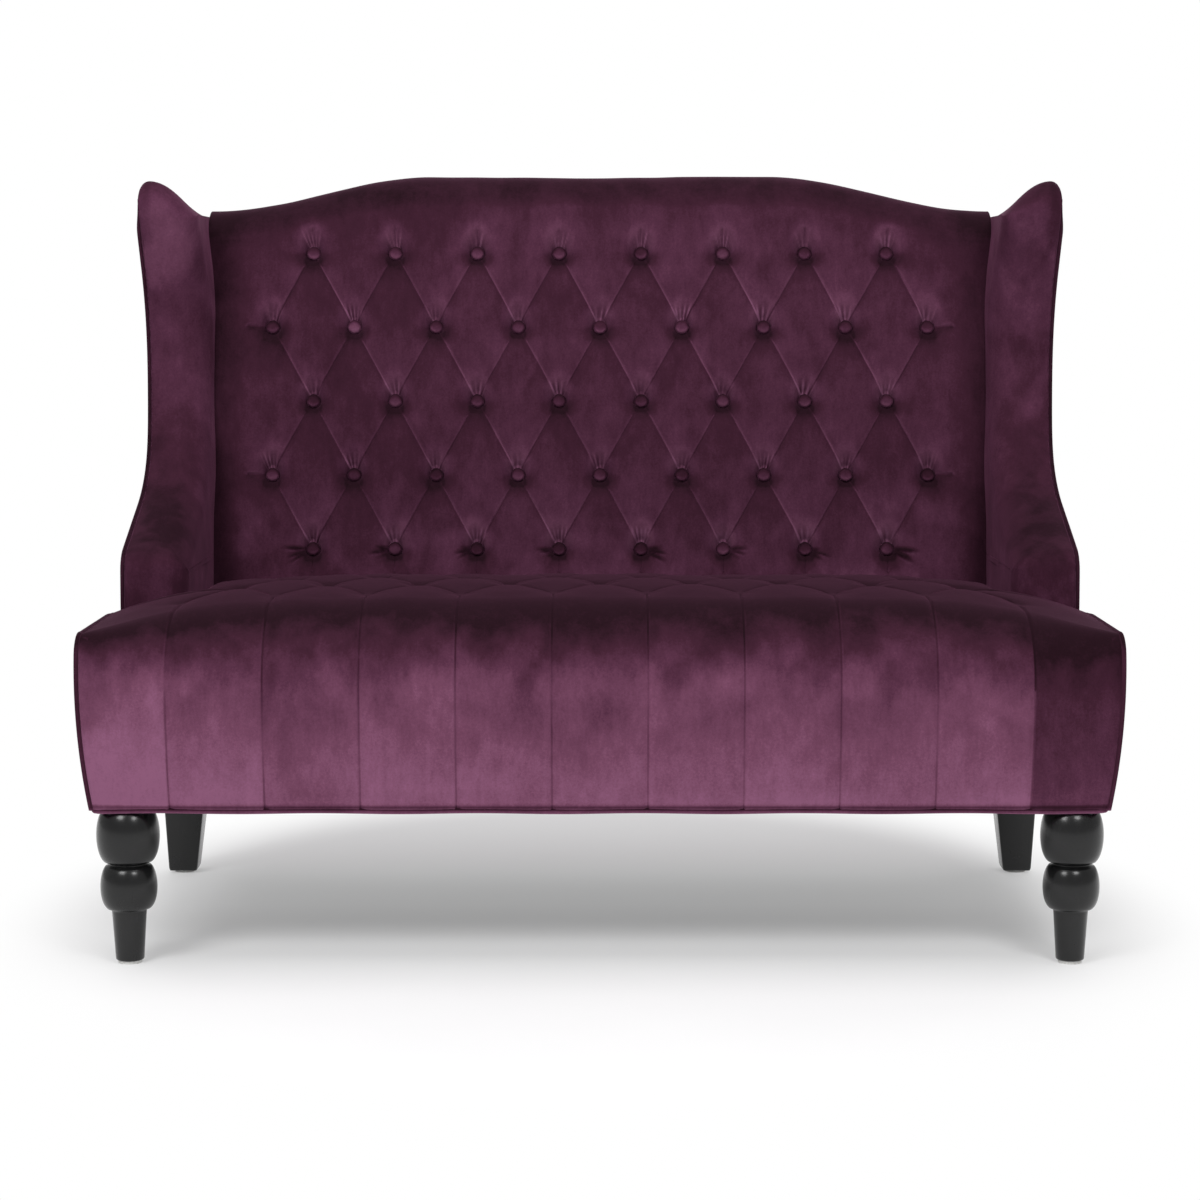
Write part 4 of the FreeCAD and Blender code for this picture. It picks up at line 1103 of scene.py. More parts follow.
@dataclass
class Back:
    """Reclined, deep-buttoned back with a camel crest."""

    lean: float = math.radians(8.0)
    foot_y: float = 0.260628
    base_z: float = 0.197
    half: float = 0.5537
    crest_v: float = 0.821
    crest_flat: float = 0.246
    shoulder_drop: float = 0.049
    front: float = 0.112
    peak: float = 0.046
    front_drop: float = 0.052
    rear_drop: float = 0.034
    bottom: float = 0.130
    rear: float = 0.0026
    pitch: float = 0.118
    rows: tuple[float, ...] = (0.703868, 0.597068, 0.490269, 0.383469, 0.276670)
    per_half: int = 56
    tuft_depth: float = 0.024
    button: float = 0.010
    board: float = 0.037
    pleat: float = 0.034
    steps: tuple[int, int, int] = (17, 29, 13)
    rows_over: int = 3
    over: Fan = Fan(6, 0.62, 0.044)
    below: Fan = Fan(4, 1.1, 0.022)
    beside: Fan = Fan(3, 0.42, 0.050)
    beside_fall: float = 0.32
    button_sides: int = 28
    button_lift: float = 0.0032
    button_tilt: float = 0.10
    button_gathers: int = 9
    button_gather: float = 0.022
    button_rim: float = 0.8
    panel_half: float = 0.638
    panel_low: float = 0.0074
    panel_shoulder: float = 0.757
    panel_lap: float = 0.003
    panel_step: Pair = (0.004, 0.012)
    panel_edge: Triple = (0.09, 0.08, 0.10)
    panel_crown: float = 0.0032
    panel_uneven: float = 0.0016
    panel_thick: float = 0.0016
    crest_left: float = 0.07
    crest_fade: float = 0.18
    tall: float = 1.5
    short: float = 0.9
    gather_low: float = 0.35
    side_fold: float = 0.0046
    relief: Relief = Relief()
    tone_and_shade: TuftShading = TuftShading()

    def crest(self, x: Array) -> Array:
        """Height of the crest: level in the middle, an eased fall to the shoulders."""
        share = (np.abs(x) - self.crest_flat) / (self.half - self.crest_flat)
        return self.crest_v - self.shoulder_drop * ease(share)

    def place(self, x: Array, forward: Array, up: Array) -> Array:
        """Points from (x, distance forward of the rear plane, distance up the back), reclined."""
        s, c = math.sin(self.lean), math.cos(self.lean)
        x, forward, up = np.broadcast_arrays(x, forward, up)
        return np.stack([x, self.foot_y + up * s - forward * c, self.base_z + up * c + forward * s], axis=-1)

    def columns(self, row: int) -> Array:
        """Tuft places across a row: eight, or nine in the rows between."""
        count = 8 + row % 2
        return (np.arange(count) - (count - 1) / 2) * self.pitch

    def tufting(self) -> Tufting:
        """Creases between neighbouring tufts, up to the crest, down to the seat and out to the wings."""
        tufts = [(x, v) for k, v in enumerate(self.rows) for x in self.columns(k)]
        starts, ends = diamonds(self.rows, self.columns, self.pitch)
        for k, way in ((0, 1.0), (4, -1.0)):
            for x in self.columns(k):
                starts.append((x, self.rows[k]))
                ends.append((x, self.rows[k] + way * self.pleat))
        for k in (1, 3):
            for side in SIDES:
                starts.append((side * 4 * self.pitch, self.rows[k]))
                ends.append((side * (4 * self.pitch + self.pleat), self.rows[k]))
        return Tufting(np.array(starts), np.array(ends), np.array(tufts), 5)

    def section(self, x: Array) -> tuple[Array, Array, Array]:
        """The uncreased section at each x, from the rear of the crest down to the seat.

        An arc rises from the rear plane to the peak, a quarter ellipse falls to the front plane,
        and a straight run goes down it; rows of the run lie on the rows of tufts.

        Returns:
            Distance forward, distance up, and the cloth map's v, each (rows, columns).
        """
        dv = (self.rows[0] - self.rows[1]) / self.per_half
        top = self.crest(x)[None, :]
        reach = self.peak - self.rear
        rear_radius = (self.rear_drop ** 2 + reach ** 2) / (2 * self.rear_drop)
        angle = math.asin(reach / rear_radius) * (1.0 - shares(self.steps[0]))
        rear_v = top - rear_radius * (1 - np.cos(angle))
        rear_f = np.broadcast_to(self.peak - rear_radius * np.sin(angle), rear_v.shape)
        reach = self.front - self.peak
        angle = 0.5 * math.pi * shares(self.steps[1])
        front_v = top - self.front_drop * (1 - np.cos(angle))
        front_f = np.broadcast_to(self.peak + reach * np.sin(angle), front_v.shape)
        aligned = self.rows[0] + self.rows_over * dv
        share = shares(self.steps[2])
        high_v = (top - self.front_drop) * (1 - share) + aligned * share
        line = aligned - dv * np.arange(int((aligned - self.bottom) / dv) + 1)[:, None]
        low_v = np.broadcast_to(line, (len(line), top.shape[1]))
        run_f = np.full((len(high_v) + len(low_v), top.shape[1]), self.front)
        forward = np.concatenate([rear_f, front_f, run_f])
        up = np.concatenate([rear_v, front_v, high_v, low_v])
        gaps = np.hypot(np.diff(forward, axis=0), np.diff(up, axis=0))
        run = np.concatenate([np.zeros((1, top.shape[1])), np.cumsum(gaps, axis=0)])
        return forward, up, run[-1:] - run + up[-1:]

    def cushion(self) -> Piece:
        """The tufted cushion: section displaced along its normal by swell, crease and funnel.

        Depth below the full section is (1 - swell^power) of the puff depth, plus a narrow
        groove at each crease whose upper lip laps over it, drawn towards the tuft depth by a
        funnel round each button that is longer above it than below, with gathers fanned over it.
        """
        r = self.relief
        du = self.pitch / 2 / self.per_half
        dv = (self.rows[0] - self.rows[1]) / self.per_half
        count = int(self.half / du)
        x = np.concatenate([[-self.half], np.arange(-count, count + 1) * du, [self.half]])
        forward, up, v = self.section(x)
        u = np.broadcast_to(x, v.shape)
        plan = self.tufting()
        fold = plan.crease(u, v)
        swell = plan.membrane(fold.distance, du, dv, r.diamond)
        across, rise, which = plan.nearest(u, v)
        puff = r.puff * (1.0 - swell ** r.puff_power) + r.crack(fold.distance)
        puff -= fold.above * r.lap(fold.distance)
        fade = ease((v.max(axis=0)[None, :] - v) / self.crest_fade)
        puff *= self.crest_left + (1.0 - self.crest_left) * fade
        radius = np.hypot(across, rise / np.where(rise > 0, self.tall, self.short))
        funnel = r.funnel(radius)
        depth = puff + (self.tuft_depth - puff) * funnel
        fans = plan.gathers(across, rise, which, self.over)
        fans += 0.5 * plan.gathers(-across, -rise, which, self.below)
        depth -= r.gather * fans * (self.gather_low + (1.0 - self.gather_low) * funnel ** 0.5)
        depth -= self.side_fold * self.side_folds(plan, across, rise, which)
        body = self.place(u, forward, up)
        soft = SmoothNoise(3).layers(body, r.uneven_size, 3) - 0.5
        edge = ease((self.half - np.abs(u)) / r.edge)
        depth = depth * edge - r.uneven * soft * edge
        upper = self.flare(body - depth[..., None] * grid_normals(body))
        row = int(np.argmin(np.abs(up[:, count + 1] - self.rows[0])))
        held = r.hold(fold.distance, radius, edge)
        upper += Press().settle(upper, held, True, (row, count + 1))
        return padding("back_cushion", upper, self.rear_face(float(up.min())), depth)

    def rear_face(self, lowest: float) -> Array:
        """The cushion's coarse rear: down from the crest, and forward on to the boards."""
        x = np.linspace(-self.half, self.half, 12)
        share = np.linspace(0.0, 1.0, 8)[:, None]
        forward = self.rear + (self.board - self.rear) * ease(share * 3.0)
        up = (self.crest(x)[None, :] - self.rear_drop) * (1 - share) + lowest * share
        return self.flare(self.place(x[None, :], forward, up))

    def side_folds(self, plan: Tufting, across: Array, rise: Array, which: Array) -> Array:
        """Folds that run outwards and a little down from each tuft of the lowest row."""
        s, c = math.sin(self.beside_fall), math.cos(self.beside_fall)
        outward = across * np.sign(plan.tufts[which][..., 0])
        lowest = plan.tufts[which][..., 1] < self.rows[-1] + NEAR
        return lowest * plan.gathers(outward * s + rise * c, outward * c - rise * s, which, self.beside)

    def flare(self, points: Array) -> Array:
        """Points whose outermost stretch widens towards the top, with the wings."""
        share = (np.abs(points[..., 0]) / self.half) ** 6
        wide = points.copy()
        wide[..., 0] += np.sign(points[..., 0]) * share * Flare().inside(points[..., 2])
        return wide

    def flat(self, spots: Array) -> tuple[Array, Array]:
        """Place on the cloth map: x, and the distance up the reclined back."""
        s, c = math.sin(self.lean), math.cos(self.lean)
        return spots[:, 0], (spots[:, 1] - self.foot_y) * s + (spots[:, 2] - self.base_z) * c

    def shade(self, spots: Array) -> Array:
        """Painted light and shade: highlights on the gathers over each button, a shadow under it, shade in
        the side folds and by the wings, lighter low down.
        """
        n = self.tone_and_shade
        u, v = self.flat(spots)
        plan = self.tufting()
        across, rise, which = plan.nearest(u, v)
        sway = n.sway * (plan.jitter(which, Draw.SWAY) - 0.5)
        across = across + sway * np.maximum(rise - n.sway_from, 0.0)
        aside = np.abs(across)
        # Painted light and painted highlights on the gathers in the gore over each tuft.
        comb = self.comb(plan, across, rise, which)
        local = n.gore.weight(rise, aside) * (n.gore_light + n.gore_comb * comb)
        # Painted shadow under each button, and a fainter wedge of painted shade.
        local -= n.shadow_dark * n.shadow.weight(-rise, aside) + n.wedge_dark * n.wedge.weight(-rise, aside)
        # Painted shade in the folds beside the lowest tufts.
        folds = self.side_folds(plan, across, rise, which)
        local -= n.fold_dark * folds * ease(np.hypot(across, rise) / n.fold_run)
        local *= n.strength[0] + n.strength[1] * plan.jitter(which, Draw.SHARE)
        # Painted shade where the back meets the wings.
        by_wing = ease((np.abs(u) - self.half + n.wing_run) / n.wing_run)
        # Lighter in random patches low down.
        patchy = ease((SmoothNoise(45).layers(spots, n.patchy_size, 2) - n.patchy_edge[0]) / n.patchy_edge[1])
        low = ease((self.rows[3] - v) / n.low_run) * (n.patchy[0] + n.patchy[1] * patchy)
        local -= n.left[0] * ease((n.left[1] - u) / n.left[2])
        local -= n.crest[0] * ease((v - self.rows[0]) / n.crest[1])
        return local - n.wing_dark * by_wing + n.low_light * low * (1.0 - by_wing)

    def comb(self, plan: Tufting, across: Array, rise: Array, which: Array) -> Array:
        """Painted highlights and shade in teeth over each tuft, each fan with its own pitch and stronger
        side.
        """
        n = self.tone_and_shade
        phase, pitch, strength, side = (
            plan.jitter(which, draw) for draw in (Draw.PHASE, Draw.PITCH, Draw.STRENGTH, Draw.SIDE)
        )
        spin = np.arctan2(across, rise + n.hub)
        teeth = (0.5 + 0.5 * np.cos((n.teeth[0] + n.teeth[1] * pitch) * spin + PHASES * phase)) ** 2
        uneven = n.comb_side[0] + n.comb_side[1] * (spin * (side - 0.5) > 0)
        return (teeth - n.comb_middle) * (n.comb_strength[0] + n.comb_strength[1] * strength) * uneven

    def crease_shading(self, spots: Array) -> tuple[Array, Array]:
        """Closeness to a crease and the painted light and shade along it, stronger towards the lower tuft.

        A crease that falls to the right gets a painted highlight hairline and one that falls to the left a
        painted shade hairline; short upright and level creases get painted shade that fades along them.
        """
        u, v = self.flat(spots)
        fold = self.tufting().crease(u, v)
        light = 0.08 + 0.30 * fold.share ** 2
        dark = -0.02 - 0.30 * fold.share ** 3
        loose = -0.14 * (1.0 - fold.share)
        kind = np.where(fold.slant > 0.5, light, np.where(fold.slant < -0.5, dark, loose))
        return fold.close, kind * (0.4 + 1.2 * SmoothNoise(41).sample(spots, 0.07))

    def button_shade(self, spots: Array) -> Array:
        """Tone and painted shade on the buttons: each its own tone, with a painted shade rim, darker in the
        lower rows.
        """
        u, v = self.flat(spots)
        plan = self.tufting()
        across, rise, which = plan.nearest(u, v)
        rim = ease((np.hypot(across, rise) / self.button - 0.68) / 0.30)
        low = ease((self.rows[1] - plan.tufts[which][:, 1]) / 0.30)
        return 0.18 - 0.24 * plan.jitter(which, Draw.BUTTON) - 0.12 * low - 0.20 * rim

    def buttons(self) -> Piece:
        """Covered buttons: a low dome over a rolled edge, gathered round the rim, each a little tilted."""
        rng = np.random.default_rng(8)
        wide, high = BUTTON_PROFILE[:, :1], BUTTON_PROFILE[:, 1:]
        angle = np.linspace(0.0, 2.0 * math.pi, self.button_sides, endpoint=False)
        sunk = self.front - self.tuft_depth + self.button_lift
        shell = Shell()
        for k, v in enumerate(self.rows):
            for x in self.columns(k):
                ripple = np.cos(angle * self.button_gathers + rng.random() * PHASES)
                r = self.button * wide * (1.0 + self.button_gather * ripple * (wide > self.button_rim))
                a = r * np.cos(angle)
                b = r * np.sin(angle)
                lean_x, lean_v = rng.normal(0.0, self.button_tilt, 2)
                shell.tube(self.place(x + a, sunk + high + a * lean_x + b * lean_v, v + b))
        return shell.build("covered_buttons")

    def rear_panel(self) -> Piece:
        """Cloth over the rear: a reclined, slightly crowned sheet, whose top follows crest and wings."""
        x = np.linspace(-self.panel_half, self.panel_half, 120)
        t = np.linspace(0.0, 1.0, 70)[:, None]
        side = ease((np.abs(x) - self.half + self.panel_step[0]) / self.panel_step[1])
        top = (self.crest(x) - self.rear_drop + self.panel_lap) * (1 - side) + self.panel_shoulder * side
        up = self.panel_low * (1 - t) + top[None, :] * t
        sides, foot, head = self.panel_edge
        edge = ease((self.panel_half - np.abs(x)[None, :]) / sides) * ease(t / foot) * ease((1 - t) / head)
        soft = SmoothNoise(21).layers(self.place(x[None, :], 0.0, up), 0.14, 2) - 0.5
        crown = self.panel_crown * edge + self.panel_uneven * soft * edge
        outer = self.place(x[None, :], -crown, up)
        inner = self.place(x[::7][None, :], self.panel_thick - crown[::3, ::7], up[::3, ::7])
        piece = padding("rear_cloth", outer, inner)
        grid_area(outer)
        return piece

    def build(self, shop: Workshop, nap_and_shade: NapAndShade) -> None:
        """Builds and dresses the back's pieces."""
        cushion = shop.dress(self.cushion(), Finish.VELVET, ["back_cover", "back_foam"])
        buttons = shop.dress(self.buttons(), Finish.VELVET, ["back_buttons"])
        panel = shop.dress(self.rear_panel(), Finish.VELVET, ["outside_back_cover"])
        nap_and_shade.brush(cushion, self.shade, self.crease_shading)
        nap_and_shade.brush(buttons, self.button_shade)
        nap_and_shade.brush(panel)


# The seat


@dataclass(frozen=True)
class SeatShading:
    """Tone and painted light and shade on the seat: heights in metres, strengths on the tone attribute's
    scale.
    """

    ends: Pair = (0.13, -0.34)
    channel: float = 0.05
    front: float = 0.15
    high: Pair = (0.325, 0.09)
    high_power: int = 8
    high_dark: float = 0.26
    mottle: Layer = Layer(0.030, (1.0, 1.0, 0.65), 0.0, 4)
    mottle_edge: Pair = (0.27, 0.46)
    mottle_from: Pair = (0.265, 0.13)
    mottle_dark: float = 0.17
    low: Pair = (0.320, 0.09)
    low_light: float = 0.07
    foot: Pair = (0.2110, 0.0055)
    foot_dark: float = 0.50


@dataclass
class Seat:
    """Bench seat in one cloth: blind-tufted top, rolled edge, channelled front down to the base."""

    half: float = 0.648
    pad_half: float = 0.5537
    front_y: float = -0.3637
    arm_front: float = -0.0953
    crown: float = 0.4705
    low: float = 0.2030
    end_drop: float = 0.045
    end_square: float = 10.0
    bulge: float = 0.350
    tuck: float = 0.018
    roll: float = 0.102
    crown_setback: float = 0.254
    rear_fall: float = 0.022
    crown_reach: float = 0.280
    taper: float = 0.0168
    spread: float = 0.003
    belly: float = 0.036
    foam_low: float = 0.3276
    rail_face: float = -0.3380
    rear_y: float = 0.1819
    pitch: float = 0.1205
    rows: tuple[float, ...] = (-0.2157, -0.10869, -0.00168, 0.10533)
    per_half: int = 32
    welt: float = 0.003
    square_rise: float = 0.075
    square_roll: float = 0.72
    steps: tuple[int, int, int] = (45, 45, 13)
    rows_before: int = 10
    rows_after: int = 119
    keep: float = 0.520
    fan: Fan = Fan(4, 0.9, 0.030)
    panel_x: float = 0.6492
    panel_crown: float = 0.0030
    panel_inside: float = 0.6370
    welt_x: float = 0.6490
    rear_gap: float = 0.003
    front: Pair = (0.06, 0.07)
    front_puff: float = 0.0010
    front_press: float = 0.10
    first_deep: float = 0.0042
    deep: float = 0.0105
    arm_gap: float = 0.02
    shut: float = 0.03
    relief: Relief = Relief(
        diamond=0.052, puff=0.0044, puff_power=0.4, groove=0.0014, groove_width=0.0013, lip=0.0007,
        lip_width=0.003, floor=0.003, mouth=0.0115, mouth_power=1.15, rim=0.044, rim_fade=0.026,
        gather=0.0016, uneven=0.007, uneven_size=0.17, edge=0.045, held=0.008,
    )
    tone_and_shade: SeatShading = SeatShading()

    def drop(self, x: Array) -> Array:
        """Fall of the seat towards its ends: sixth power of the share of the half width."""
        return self.end_drop * (np.abs(x) / self.half) ** 6

    def square(self, x: Array) -> Array:
        """How square the section is: 0 over most of the width, 1 at the ends, where the cloth is tight."""
        return (np.abs(x) / self.half) ** self.end_square

    def top(self, x: Array, y: Array) -> Array:
        """Height of the uncreased top: crowned from front to back, lower at the ends."""
        fall = self.rear_fall * ((y - self.front_y - self.crown_setback) / self.crown_reach) ** 2
        return self.crown - self.drop(x) - fall * (1.0 - self.square(x) * (y < self.rows[1]))

    def place(self, x: Array, y: Array, z: Array) -> Array:
        """Points whose ends swell a little half way down and narrow to the base; seams stay upright."""
        x, y, z = np.broadcast_arrays(x, y, z)
        return np.stack([x * self.width(x, z), y, z], axis=-1)

    def width(self, x: Array, z: Array) -> Array:
        """Factor of the width: a parabola's belly on a straight taper, felt only towards the ends."""
        share = (self.crown - self.end_drop - z) / (self.crown - self.end_drop - self.low)
        full = self.spread - self.taper * share + self.belly * share * (1.0 - share)
        return 1.0 + full * np.minimum(np.abs(x) / self.half, 1.0) ** 12

    def columns(self, row: int) -> Array:
        """Tuft places across a row: ten, nine, eight, nine."""
        count = (10, 9, 8, 9)[row]
        return (np.arange(count) - (count - 1) / 2) * self.pitch

    def section(self, x: Array) -> tuple[Array, Array, Array]:
        """The uncreased section at each x: an arc up the front, an arc over the roll, then the crowned top.

        Returns:
            y, z and the cloth map's v, each (rows, columns).
        """
        dv = (self.rows[1] - self.rows[0]) / self.per_half
        x = x[None, :]
        y1, z1 = self.front_y, self.bulge - 0.5 * self.drop(x) + self.square_rise * self.square(x)
        y2 = self.front_y + self.roll * (1.0 - self.square_roll * self.square(x))
        z2 = self.top(x, y2)
        radius = (self.tuck ** 2 + (z1 - self.low) ** 2) / (2 * self.tuck)
        angle = np.arcsin((z1 - self.low) / radius) * (1 - shares(self.steps[0]))
        front_y = y1 + radius * (1 - np.cos(angle))
        front_z = z1 - radius * np.sin(angle)
        radius = ((y2 - y1) ** 2 + (z2 - z1) ** 2) / (2 * (y2 - y1))
        angle = np.arctan2(z2 - z1, radius - (y2 - y1)) * shares(self.steps[1])
        roll_y = y1 + radius * (1 - np.cos(angle))
        roll_z = z1 + radius * np.sin(angle)
        t = shares(self.steps[2])
        ledge_y = y2 * (1 - t) + (self.rows[0] - self.rows_before * dv) * t
        line = np.arange(-self.rows_before, self.rows_after)[:, None] * dv + self.rows[0]
        line = line[line[:, 0] < self.rear_y - self.rear_gap]
        top_y = np.broadcast_to(line, (len(line), x.shape[1]))
        y = np.concatenate([front_y, roll_y, ledge_y, top_y])
        z = np.concatenate([front_z, roll_z, self.top(x, ledge_y), self.top(x, top_y)])
        gaps = np.hypot(np.diff(y, axis=0), np.diff(z, axis=0))
        run = np.concatenate([np.zeros((1, x.shape[1])), np.cumsum(gaps, axis=0)])
        row = int(np.argmin(np.abs(y[:, 0] - self.rows[0])))
        return y, z, run - run[row:row + 1] + self.rows[0]

    def tufting(self) -> Tufting:
        """Channels down the front, diamonds between the rows, creases on to the back and out to the arms."""
        tufts = [(x, y) for k, y in enumerate(self.rows) for x in self.columns(k)]
        starts = [(x, self.rows[0]) for x in self.columns(0)]
        ends = [(x, -2.0) for x in self.columns(0)]
        for known, found in zip((starts, ends), diamonds(self.rows, self.columns, self.pitch)):
            known.extend(found)
        for x in self.columns(3):
            starts.append((x, self.rows[3]))
            ends.append((x, 1.0))
        for k in (1, 3):
            for side in SIDES:
                starts.append((side * 4 * self.pitch, self.rows[k]))
                ends.append((side * 0.6, self.rows[k]))
        return Tufting(np.array(starts), np.array(ends), np.array(tufts), 9)

    def cushion(self) -> Piece:
        """The seat: section displaced along its normal by swell, seams and blind tufts."""
        r = self.relief
        du = self.pitch / 2 / self.per_half
        dv = (self.rows[1] - self.rows[0]) / self.per_half
        count = int(self.half / du)
        x = np.concatenate([[-self.half], np.arange(-count, count + 1) * du, [self.half]])
        y, z, v = self.section(x)
        u = np.broadcast_to(x, v.shape)
        plan = self.tufting()
        distance = plan.crease(u, v).distance
        swell = plan.membrane(distance, du, dv, r.diamond)
        across, rise, which = plan.nearest(u, v)
        on_top = ease((v - self.rows[0] + self.front[0]) / self.front[1])
        puff = (self.front_puff + r.puff * on_top) * (1.0 - swell ** r.puff_power) + r.crack(distance)
        puff -= np.sign(u) * np.sign(across) * (1.0 - on_top) * r.lap(distance)
        radius = np.hypot(across, rise)
        first = which < len(self.columns(0))
        depth = puff + (np.where(first, self.first_deep, self.deep) - puff) * r.funnel(radius)
        depth -= r.gather * plan.gathers(-across, -rise, which, self.fan) * on_top * ~first
        inside = np.where(v > self.arm_front - self.arm_gap, self.pad_half, self.half)
        edge = ease((inside - np.abs(u)) / r.edge)
        body = self.place(u, y, z)
        soft = SmoothNoise(4).layers(body, r.uneven_size, 3) - 0.5
        depth = depth * edge - r.uneven * soft * edge * ease((v - v[0]) / self.shut)
        upper = body + depth[..., None] * grid_normals(body)
        row = int(np.argmin(np.abs(v[:, count + 1] - self.rows[0])))
        share = self.front_press + (1.0 - self.front_press) * on_top[..., None]
        held = r.hold(distance, radius, edge)
        upper += share * Press().settle(upper, held, False, (row, count + 1))
        return padding("seat_cushion", *self.draw_in(upper), depth)

    def draw_in(self, upper: Array) -> tuple[Array, Array]:
        """The top with its outer columns drawn in behind the arms' fronts, and the coarse underside.

        So the seat is T shaped.
        """
        squeeze = (self.pad_half - self.keep) / (self.half - self.keep)
        narrow = ease((upper[..., 1] - self.arm_front + 0.005) / 0.004)
        beyond = np.maximum(np.abs(upper[..., 0]) - self.keep, 0.0)
        upper[..., 0] -= np.sign(upper[..., 0]) * beyond * (1.0 - squeeze) * narrow
        columns = np.unique(np.linspace(0, upper.shape[1] - 1, 28).astype(int))
        even = np.linspace(0, upper.shape[0] - 1, 24).astype(int)
        rows = np.unique(np.concatenate([even, np.nonzero(narrow[:, 0] % 1.0)[0]]))
        lower = upper[rows][:, columns]
        lower[..., 1] = np.maximum(lower[..., 1], self.rail_face)
        lower[..., 2] = np.minimum(lower[..., 2], self.foam_low)
        return upper, lower

    def shade(self, spots: Array) -> Array:
        """Tone and painted light and shade: each channel of the front brushed its own way, one end light, the
        other dark.

        The front has painted shade high up towards the ends and dark mottling higher up, painted light low
        down, and painted shade where it meets the base.
        """
        n = self.tone_and_shade
        rng = np.random.default_rng(17)
        lies = np.concatenate([[n.ends[0]], rng.uniform(-n.channel, n.channel, 9), [n.ends[1]]])
        z = spots[:, 2]
        across = spots[:, 0] / self.width(spots[:, 0], z)
        number = np.clip(np.floor(across / self.pitch + 0.5 * len(lies)), 0, len(lies) - 1).astype(int)
        front = ease((self.arm_front - spots[:, 1]) / n.front)
        # Painted shade high on the front towards the ends.
        high = ease((z - n.high[0]) / n.high[1]) * (np.abs(across) / self.half) ** n.high_power
        spot = ease((n.mottle.at(SmoothNoise(23), spots) - n.mottle_edge[0]) / n.mottle_edge[1])
        upper = ease((z - n.mottle_from[0]) / n.mottle_from[1]) * front
        # Painted light low on the front, and painted shade where it meets the base.
        low = n.low_light * ease((n.low[0] - z) / n.low[1])
        foot = n.foot_dark * ease((n.foot[0] - z) / n.foot[1])
        return lies[number] * front - n.high_dark * high - n.mottle_dark * spot * upper + low - foot

    def crease_shading(self, spots: Array) -> tuple[Array, Array]:
        """Closeness to a seam and the painted shade along it: painted shade down the front, a faint painted
        highlight on the top.
        """
        fold = self.tufting().crease(spots[:, 0] / self.width(spots[:, 0], spots[:, 2]), spots[:, 1])
        on_top = ease((spots[:, 1] - self.rows[0]) / 0.02)
        return fold.close, (-0.14 + 0.20 * on_top) * (0.5 + SmoothNoise(43).sample(spots, 0.06))

    def end_path(self, lift: float) -> Array:
        """The seat's end outline in (y, z), moved out from the cloth by a lift."""
        y, z, _ = self.section(np.array([self.half]))
        path = np.stack([y[:, 0], z[:, 0]], axis=1)
        path = path[path[:, 0] < self.arm_front]
        path = np.concatenate([path, [[self.arm_front, self.top(self.half, self.arm_front)]]])
        slope = unit(np.gradient(path, axis=0))
        return along(path + lift * np.stack([-slope[:, 1], slope[:, 0]], axis=1), 0.004)

    def side_panel(self, side: float) -> Piece:
        """Cloth over a seat end: lines from the outline down to the base, with a slight crown."""
        path = self.end_path(-0.0012)
        t = np.linspace(0.0, 1.0, len(path))[:, None]
        s = np.linspace(0.0, 1.0, 40)[None, :]
        y = path[:, :1] * (1 - s) + (path[0, 0] + (self.arm_front - path[0, 0]) * t) * s
        z = path[:, 1:] * (1 - s) + self.low * s
        edge = ease(s / 0.3) * ease((1 - s) / 0.15) * ease(t / 0.1) * ease((1 - t) / 0.1)
        outer = self.place(side * (self.panel_x + self.panel_crown * edge), y, z)
        inner = self.place(side * self.panel_inside, y[::8, ::8], z[::8, ::8])
        return padding(f"seat_end_cloth_{hand(side)}", outer, inner)

    def welt_cord(self, side: float) -> Piece:
        """Covered cord along an end seam: a circle carried along the outline."""
        path = self.end_path(-0.0004)
        spots = self.place(np.full(len(path), side * self.welt_x), path[:, 0], path[:, 1])
        return turning(f"seat_end_cord_{hand(side)}", carried(spots, self.welt, ACROSS, 14, 12))

    def build(self, shop: Workshop, nap_and_shade: NapAndShade) -> None:
        """Builds and dresses the seat's pieces."""
        cushion = shop.dress(self.cushion(), Finish.VELVET, ["seat_cover", "seat_foam", "seat_stitches"])
        nap_and_shade.brush(cushion, self.shade, self.crease_shading)
        for side in SIDES:
            panel = shop.dress(self.side_panel(side), Finish.VELVET, [f"seat_side_panel_{hand(side)}"])
            cord = shop.dress(self.welt_cord(side), Finish.VELVET, [f"seat_welt_{hand(side)}"])
            # Painted shade: the end panels darker, the cords darker still.
            nap_and_shade.brush(panel, lambda spots: -0.22)
            nap_and_shade.brush(cord, lambda spots: -0.45)


# The wings


